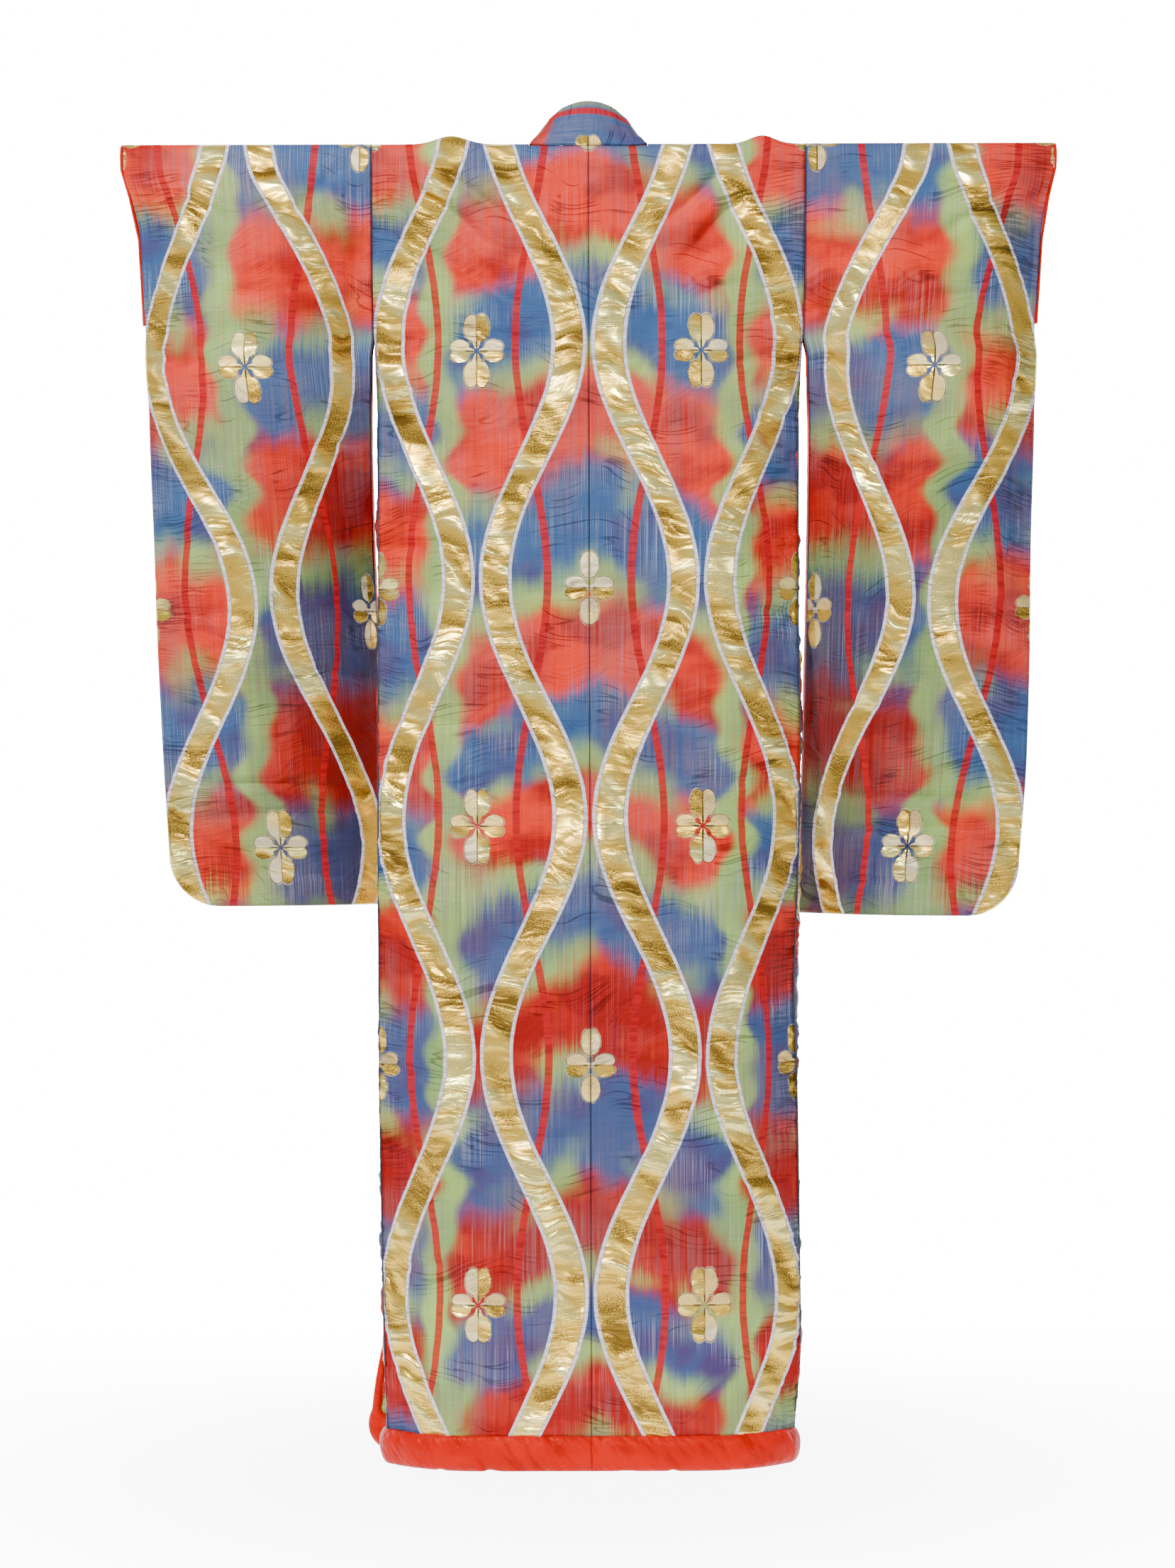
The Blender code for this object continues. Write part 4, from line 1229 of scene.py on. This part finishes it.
def hem_stations(step):
    """Round the hem from the centre seam to the front edge, round its corner and up the edge to a point."""
    top = HEM_SEAM + ROLL_CAUGHT
    low = HEM_SEAM - SEAM_GAP - HEM_ROLL_HEIGHT
    width = FRONT_WIDTH + OVERLAP_WIDTH
    turn = width - OVERLAP_CORNER
    hem = [(back_path, w) for w in span(SEAM_GAP / 2, BACK_HALF - ROLL_SIDE_TURN, step)]
    hem += [(front_path, w) for w in span(ROLL_SIDE_TURN, turn, step)[:-1]]
    stations = [Station(path, (w, top), (w, low), HEM_ROLL_DEPTH, HEM_ROLL_INSET) for path, w in hem]
    corner_z = HEM_SEAM + OVERLAP_CORNER
    inner = OVERLAP_CORNER - ROLL_CAUGHT
    for share in span(0.0, 1.0, 1 / ROLL_CORNER_RINGS):
        angle = math.pi / 2 * share
        size = HEM_ROLL_HEIGHT + (FRONT_ROLL - HEM_ROLL_HEIGHT) * ease(share)
        depth = HEM_ROLL_DEPTH + (FRONT_ROLL - HEM_ROLL_DEPTH) * ease(share)
        ends = [
            (turn + radius * math.sin(angle), corner_z - radius * math.cos(angle))
            for radius in (inner, inner + size)
        ]
        stations.append(Station(front_path, *ends, depth, HEM_ROLL_INSET * (1 - share)))
    start = width - ROLL_CAUGHT
    for z in span(corner_z, corner_z - FRONT_ROLL_HEIGHT, step)[1:]:
        size = FRONT_ROLL + (FRONT_ROLL_TIP - FRONT_ROLL) * (corner_z - z) / FRONT_ROLL_HEIGHT
        stations.append(Station(front_path, (start, z), (start + size, z), size, 0.0))
    return stations


def roll_ring(side, station, gone, sizes):
    """One ring of the roll: gathers at its sewn edge, sparser notches at its outer one, a slow swell."""
    full = station.depth / HEM_ROLL_DEPTH
    seed = ROLL_SEED[side]
    ring = []
    for k in range(sizes.roll_sides):
        angle = 2 * math.pi * k / sizes.roll_sides
        across = (1 - math.cos(angle)) / 2
        v = 4.0 * angle / math.pi
        gather = max(0.0, float(rumple(gone / GATHER_STEP, v * 0.25, seed)) - 0.15) * (1 - across) ** 3
        notch = max(0.0, float(rumple(gone / NOTCH_STEP, v * 0.1, seed + 1)) - 0.35) * across**3
        swell = float(rumple(gone / 0.060, v * 0.7, seed + 2)) * 0.0010
        slant = float(rumple(gone / 0.022 + v * 0.5, v * 0.5, seed + 3)) * 0.0008 * math.sin(angle)
        tight = sizes.gather * full * (0.8 * gather + 0.9 * notch)
        w, z = (a + (b - a) * across for a, b in zip(station.inner, station.outer))
        rounder = math.copysign(abs(math.sin(angle)) ** 0.82, math.sin(angle))
        outward = (station.depth / 2 - tight + (swell + slant) * full) * rounder - station.inset
        if station.inner[0] == station.outer[0]:
            z += tight * (-0.5 if across < 0.5 else 1.6) * abs(math.cos(angle)) ** 2
        x, y = station.path(side, max(z, HEM_SEAM)).beside(w, outward)
        ring.append((side * x, y, z))
    return ring


def hem_rings(side, sizes):
    """The roll's rings in order, the first one right in the middle of the back."""
    rings, gone, before = [], 0.0, None
    for station in hem_stations(ROLL_STEP):
        w, z = ((a + b) / 2 for a, b in zip(station.inner, station.outer))
        here = (*station.path(side, max(z, HEM_SEAM)).at(w), z)
        gone += math.dist(here, before) if before else 0.0
        before = here
        rings.append(roll_ring(side, station, gone, sizes))
    rings[0] = [(0.0, y, z) for _, y, z in rings[0]]
    return rings


def loft(name, rings, look):
    """A closed roll through rings of spots."""
    roll = bmesh.new()
    sides = len(rings[0])
    for vertex, k, ring in fill_grid(roll, sides + 1, len(rings)):
        vertex.co = rings[ring][k % sides]
    bmesh.ops.remove_doubles(roll, verts=roll.verts, dist=1e-6)
    bmesh.ops.holes_fill(roll, edges=roll.edges)
    bmesh.ops.recalc_face_normals(roll, faces=roll.faces)
    return placed(name, smooth_mesh(name, roll), look)


# ---- The studio

FLOOR_GAP = 0.0015  # from the hem's lowest point down to the floor
SWEEP_START = -4.6
SWEEP_HALF = 6.5
SWEEP_RUN = 9.0  # paper from the front edge to the top
SWEEP_FLAT = 6.4  # its level stretch
SWEEP_BEND = 1.2  # the radius in which it turns up
SWEEP_TALL = 5.0  # how many times longer its upright stretch is
SWEEP_ROWS = 40
AIM = Vector((0.0, 0.0, -0.9))
Lamp = namedtuple("Lamp", "name place size power")
LAMPS = table(
    Lamp,
    ("key", (-2.2, -3.6, 2.9), 0.7, 400),
    ("fill", (2.8, -3.8, 1.0), 1.2, 55),
    ("front", (-0.5, -5.2, 0.5), 0.4, 125),
)
AIR = (0.93, 0.95, 1.0, 1)
AIR_GIVEN = 0.13  # the light that the air gives
AIR_SEEN = 16.0  # what is added to it in how the air looks
CAMERA_PLACE = (-0.0036, -5.0, -0.9029)
CAMERA_ROLL = math.radians(0.15)
LENS, SENSOR = 79.78, 36.0  # in millimetres


def studio_paper():
    """White paper that gives less light than its looks, as one that is lit from far off."""
    paper = Look("studio_paper", roughness=0.9, base_color=(0.22, 0.22, 0.225, 1), emission_strength=1.0)
    x, y, _ = paper.spot()
    given = y.rise(-0.86, -0.66) * 1.8 + y.rise(0.1, 1.5) * 2.0
    # a painted shadow: the paper looks darker near the middle, round the hem
    shade = far_from_middle(x, y).rise(1.2, 0.25)
    shown = y.rise(0.4, 1.6) * 5.0 - shade * 4.0 + 12.0
    sight = paper.node("ShaderNodeLightPath", {}, {}, "Is Camera Ray")
    glow = given + sight * (shown - given)
    # it hides nothing from behind
    front = 1 - paper.node("ShaderNodeNewGeometry", {}, {}, "Backfacing")
    return paper.finish(emission_color=paper.join(glow, glow, glow), alpha=front)


def studio_sweep(low):
    """A floor of one sheet that bends up behind."""
    sweep = bmesh.new()
    for vertex, column, row in fill_grid(sweep, 3, SWEEP_ROWS + 1):
        run = SWEEP_RUN * row / SWEEP_ROWS
        bent = max(run - SWEEP_FLAT, 0.0)
        angle = min(bent / SWEEP_BEND, math.pi / 2)
        y = SWEEP_START + min(run, SWEEP_FLAT) + SWEEP_BEND * math.sin(angle)
        upright = max(bent - SWEEP_BEND * math.pi / 2, 0.0) * SWEEP_TALL
        vertex.co = (column - 1) * SWEEP_HALF, y, low + SWEEP_BEND * (1 - math.cos(angle)) + upright
    return placed("studio_sweep", smooth_mesh("studio_sweep", sweep), studio_paper())


def studio_lamp(lamp):
    data = bpy.data.lights.new(lamp.name, "AREA")
    data.shape = "SQUARE"
    data.size, data.energy = lamp.size, lamp.power
    made = placed(lamp.name, data)
    made.location = lamp.place
    made.rotation_euler = (AIM - Vector(lamp.place)).to_track_quat("-Z", "Y").to_euler()


def studio_air():
    """Air that looks bright and gives little light."""
    world = bpy.data.worlds.new("studio_air")
    world.use_nodes = True
    nodes, links = world.node_tree.nodes, world.node_tree.links
    sight = nodes.new("ShaderNodeLightPath")
    bright = nodes.new("ShaderNodeMath")
    bright.operation = "MULTIPLY_ADD"
    bright.inputs[1].default_value, bright.inputs[2].default_value = AIR_SEEN, AIR_GIVEN
    nodes["Background"].inputs["Color"].default_value = AIR
    links.new(sight.outputs["Is Camera Ray"], bright.inputs[0])
    links.new(bright.outputs[0], nodes["Background"].inputs["Strength"])
    return world


def studio_camera():
    data = bpy.data.cameras.new("camera")
    data.sensor_width, data.lens = SENSOR, LENS
    camera = placed("camera", data)
    camera.location = CAMERA_PLACE
    camera.rotation_euler = (math.pi / 2, CAMERA_ROLL, 0.0)
    return camera


# ---- The pieces' operators


def metres(name, words, value):
    return FloatProperty(name=name, description=words, default=value, unit="LENGTH")


def swatch(name, words, value):
    rest = {"name": name, "description": words, "default": value, "subtype": "COLOR"}
    return FloatVectorProperty(size=3, min=0.0, max=1.0, **rest)


class UchikakeSizes(bpy.types.PropertyGroup):
    grid: metres("Grid", "Cloth between two lines of the mesh", 0.0062)
    wall: metres("Wall", "Outer silk, wadding and lining", WALL)
    fold: FloatProperty(name="Folds", description="Strength of drawn folds", default=2.4, min=0.0, max=3.0)
    drag: metres("Drags", "Height of the fine cross drags", 0.00100)
    pucker: metres("Puckers", "Height of seam puckers", 0.0030)
    piping: metres("Piping", "Radius of the side piping", 0.0011)
    gather: metres("Gathers", "Depth of the hem's gathers", 0.0034)
    roll_sides: IntProperty(name="Roll sides", description="Faces round the padded hem", default=28, min=12)


class UchikakeColours(bpy.types.PropertyGroup):
    coral: swatch("Coral", "Dyed red of the upper part", (0.740, 0.026, 0.006))
    red: swatch("Red", "Dyed red of the lower part", (0.300, 0.003, 0.002))
    blue: swatch("Blue", "Dyed blue", (0.034, 0.086, 0.215))
    violet: swatch("Violet", "Blue crossed with red", (0.060, 0.035, 0.120))
    green: swatch("Green", "Light green ground", (0.340, 0.520, 0.110))
    sage: swatch("Sage", "Greyer green ground", (0.200, 0.330, 0.095))
    dun: swatch("Dun", "Warp that took both dyes", (0.200, 0.120, 0.125))
    thread: swatch("Thread", "Pale undyed warp", (0.620, 0.560, 0.660))
    line: swatch("Line", "Thin woven red line", (0.460, 0.002, 0.006))
    cord: swatch("Edging", "White edging of the bands", (0.800, 0.720, 0.820))
    gold: swatch("Gold", "Gold foil", (0.900, 0.570, 0.080))
    # the foil's painted shade, also used for the petals' outline, and the foil's painted highlight
    foil_shade_and_outline: swatch("Bronze", "Gold foil turned away", (0.270, 0.150, 0.022))
    glint: swatch("Glint", "Gold foil turned to the light", (1.000, 0.890, 0.300))
    silver: swatch("Silver", "Silver foil of the petals", (0.850, 0.720, 0.470))
    navy: swatch("Navy", "Piping and seams", (0.010, 0.014, 0.032))
    satin: swatch("Satin", "Red satin of hem and lining", (0.520, 0.002, 0.000))
    glow: swatch("Satin light", "Satin turned to the light", (0.820, 0.020, 0.004))
    wood: swatch("Wood", "The rod", (0.500, 0.320, 0.170))


def chosen(context):
    return context.scene.uchikake_sizes, context.scene.uchikake_colours


def cloth_faces(stem, colours, step, **finish):
    """Figured silk outside and hardly ruffled satin inside."""
    return figured_silk(f"{stem}_silk", colours, step, **finish), satin(f"{stem}_lining", colours, SMOOTH)


DONE = {"FINISHED"}


def made_of(piece, node):
    """The piece rides on the robe's one body and stands for a solid."""
    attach(piece, "root")
    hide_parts(node)


class UCHIKAKE_OT_bodies(bpy.types.Operator):
    """Hang the two body panels from hem to hem over the rod"""

    bl_idname = "uchikake.bodies"
    bl_label = "Body Panels"

    def execute(self, context):
        sizes, colours = chosen(context)
        silk = figured_silk("figured_silk", colours, BAND_STEP, seam=CENTRE_LINE)
        looks = silk, satin("lining_silk", colours, SMOOTH)
        neckline = NECK_ANGLE * DRAPE_RADIUS
        end = DRAPE - HEM_SEAM
        columns = through([0.0, SEAM_GRID, NECK_HALF, BACK_HALF], sizes.grid)
        rows = through([-end, -DRAPE, neckline, 0.0, DRAPE, end], sizes.grid)
        for side in (LEFT, RIGHT):
            node = named(side, "body")
            place, push = partial(place_panel, side), partial(body_push, side, sizes)
            panel = hang(
                f"{node}_silk", columns, rows, place, body_layout, push, looks, sizes.wall,
                keep=lambda w, length: w > NECK_HALF or length < neckline, flip=side == LEFT, weave=side,
            )
            made_of(panel, node)
        return DONE


class UCHIKAKE_OT_overlaps(bpy.types.Operator):
    """Hang the two okumi, the narrow panels along the front edges"""

    bl_idname = "uchikake.overlaps"
    bl_label = "Front Overlaps"

    def execute(self, context):
        sizes, colours = chosen(context)
        looks = cloth_faces("overlap", colours, BAND_STEP)
        columns = span(0.0, 1.0, sizes.grid / OVERLAP_WIDTH)
        levels = through([OVERLAP_FIRST, HEM_SEAM + OVERLAP_CORNER, HEM_SEAM], sizes.grid)
        rows = [DRAPE - z for z in levels]
        area = OVERLAP_WIDTH * (OVERLAP_FIRST - HEM_SEAM - (OVERLAP_TOP - COLLAR_END) / 2)
        for side in (LEFT, RIGHT):
            node = named(side, "okumi")
            place, push = partial(place_okumi, side), partial(okumi_push, side, sizes)
            panel = hang(
                f"{node}_silk", columns, rows, place, okumi_layout, push, looks, sizes.wall,
                cloth=overlap_cloth, flip=side == RIGHT, weave=side,
            )
            made_of(panel, node)
            f"{named(side, 'body')}_silk"
        return DONE


class UCHIKAKE_OT_sleeves(bpy.types.Operator):
    """Hang the two long sleeves, folded over the rod"""

    bl_idname = "uchikake.sleeves"
    bl_label = "Sleeves"

    def execute(self, context):
        sizes, colours = chosen(context)
        # inner puts painted shade on the sleeves' lower inner parts beside the body
        finish = {"half": SLEEVE_BAND_HALF, "seam": ARMHOLE_LINE, "inner": 1.0}
        looks = cloth_faces("sleeve", colours, SLEEVE_STEP, **finish)
        columns = through([0.0, SEAM_GRID, SLEEVE_WIDTH - SLEEVE_EDGE], sizes.grid)
        columns += span(SLEEVE_WIDTH - SLEEVE_EDGE, SLEEVE_WIDTH, EDGE_GRID)[1:]
        for side in (LEFT, RIGHT):
            end = DRAPE - SLEEVE_BOTTOM[side]
            front = span(DRAPE, end - SLEEVE_EDGE, sizes.grid) + span(end - SLEEVE_EDGE, end, EDGE_GRID)[1:]
            rows = [-length for length in reversed(front)] + span(-DRAPE, DRAPE, sizes.grid)[1:-1] + front
            node = named(side, "sleeve")
            place, push = partial(place_sleeve, side), partial(sleeve_push, side, sizes)
            piece = hang(
                f"{node}_silk", columns, rows, place, sleeve_layout, push, looks, sizes.wall,
                cloth=partial(sleeve_cloth, side), flip=side == LEFT, weave=side,
            )
            made_of(piece, node)
        return DONE


class UCHIKAKE_OT_collar(bpy.types.Operator):
    """Hang the collar round the neck and down both front edges"""

    bl_idname = "uchikake.collar"
    bl_label = "Collar"

    def execute(self, context):
        sizes, colours = chosen(context)
        looks = cloth_faces("collar", colours, COLLAR_STEP)
        last = COLLAR_TURNS + (COLLAR_FIRST_HUNG - COLLAR_END) / COLLAR_DROP
        half = span(0.0, COLLAR_TURNS, 0.25)[:-1] + span(COLLAR_TURNS, last, sizes.grid / COLLAR_DROP)
        rows = [-stop for stop in reversed(half[1:])] + half
        far, along = 0.0, {0.0: 0.0}
        for before, stop in zip(half, half[1:]):
            far += math.dist(place_collar(0.5, before), place_collar(0.5, stop))
            along[stop], along[-stop] = far, -far
        columns = span(0.0, 1.0, sizes.grid / COLLAR_WIDTH)
        push = partial(collar_push, sizes)
        band = hang(
            "collar_silk_band", columns, rows, place_collar, collar_layout, push, looks, COLLAR_WALL,
            cloth=lambda share, stop: (share * COLLAR_WIDTH, along[stop]), flip=True,
        )
        made_of(band, "collar")
        return DONE


class UCHIKAKE_OT_hem_rolls(bpy.types.Operator):
    """Make the padded red satin roll round the hem and up the front edges"""

    bl_idname = "uchikake.hem_rolls"
    bl_label = "Padded Hem"

    def execute(self, context):
        sizes, colours = chosen(context)
        look = satin("hem_satin", colours)
        for side in (LEFT, RIGHT):
            node = named(side, "hem_roll")
            roll = loft(f"{node}_satin", hem_rings(side, sizes), look)
            made_of(roll, node)
        return DONE


class UCHIKAKE_OT_piping(bpy.types.Operator):
    """Lay the thin navy piping down both side seams"""

    bl_idname = "uchikake.piping"
    bl_label = "Side Piping"

    def execute(self, context):
        sizes, colours = chosen(context)
        look = twisted_cord("navy_piping", colours.navy)
        levels = span(SIDE_SEAM_TOP + PIPING_ABOVE, HEM_SEAM + 0.001, PIPING_STEP)
        for side in (LEFT, RIGHT):
            line = bpy.data.curves.new(named(side, "side_piping"), "CURVE")
            line.dimensions = "3D"
            line.bevel_depth, line.bevel_resolution, line.use_fill_caps = sizes.piping, 3, True
            spline = line.splines.new("POLY")
            spline.points.add(len(levels) - 1)
            for point, z in zip(spline.points, levels):
                x, y = back_path(side, z).beside(BACK_HALF - 0.0005, sizes.wall / 2 + 0.3 * sizes.piping)
                sway = PIPING_SWAY * float(rumple(z / 0.03, 0.5, PIPING_SEED + side))
                point.co = (side * (x + sway), y, z, 1)
            made = placed(line.name, line, look)
            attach(made, "root")
        return DONE


class UCHIKAKE_OT_kept_solids(bpy.types.Operator):
    """Finish the solids that stay: the wooden rod and the rolled edges of the cuffs"""

    bl_idname = "uchikake.kept_solids"
    bl_label = "Rod and Cuff Edges"

    def execute(self, context):
        _, colours = chosen(context)
        wood, edge = planed_wood("rod_wood", colours.wood), satin("cuff_satin", colours)
        for name, look in (("rod", wood), ("cuff_roll_left", edge), ("cuff_roll_right", edge)):
            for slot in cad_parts[name].material_slots:
                slot.material = look
        return DONE


class UCHIKAKE_OT_stage(bpy.types.Operator):
    """Build the pale studio: a floor that sweeps up behind, soft lights and the camera"""

    bl_idname = "uchikake.stage"
    bl_label = "Studio"

    def execute(self, context):
        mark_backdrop(studio_sweep(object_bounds()[0].z - FLOOR_GAP))
        for lamp in LAMPS:
            studio_lamp(lamp)
        context.scene.world = studio_air()
        context.scene.camera = studio_camera()
        return DONE


class UCHIKAKE_PT_panel(bpy.types.Panel):
    """Lists the robe's pieces in the order they are made"""

    bl_label = "Hung Uchikake"
    bl_idname = "UCHIKAKE_PT_panel"
    bl_space_type = "VIEW_3D"
    bl_region_type = "UI"
    bl_category = "Uchikake"

    def draw(self, context):
        for group in chosen(context):
            box = self.layout.box()
            for name in group.__annotations__:
                box.prop(group, name)
        for operator in OPERATORS:
            self.layout.operator(operator.bl_idname)


OPERATORS = (
    UCHIKAKE_OT_bodies,
    UCHIKAKE_OT_overlaps,
    UCHIKAKE_OT_sleeves,
    UCHIKAKE_OT_collar,
    UCHIKAKE_OT_hem_rolls,
    UCHIKAKE_OT_piping,
    UCHIKAKE_OT_kept_solids,
    UCHIKAKE_OT_stage,
)
CLASSES = (UchikakeSizes, UchikakeColours, *OPERATORS, UCHIKAKE_PT_panel)


def register():
    for made in CLASSES:
        bpy.utils.register_class(made)
    bpy.types.Scene.uchikake_sizes = PointerProperty(type=UchikakeSizes)
    bpy.types.Scene.uchikake_colours = PointerProperty(type=UchikakeColours)


def unregister():
    del bpy.types.Scene.uchikake_colours
    del bpy.types.Scene.uchikake_sizes
    for made in reversed(CLASSES):
        bpy.utils.unregister_class(made)


def main():
    register()
    for operator in OPERATORS:
        group, name = operator.bl_idname.split(".")
        getattr(getattr(bpy.ops, group), name)()
    plain = [[list(corner) for corner in box] for box in (solid_bounds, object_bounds())]


if __name__ == "__main__":
    main()
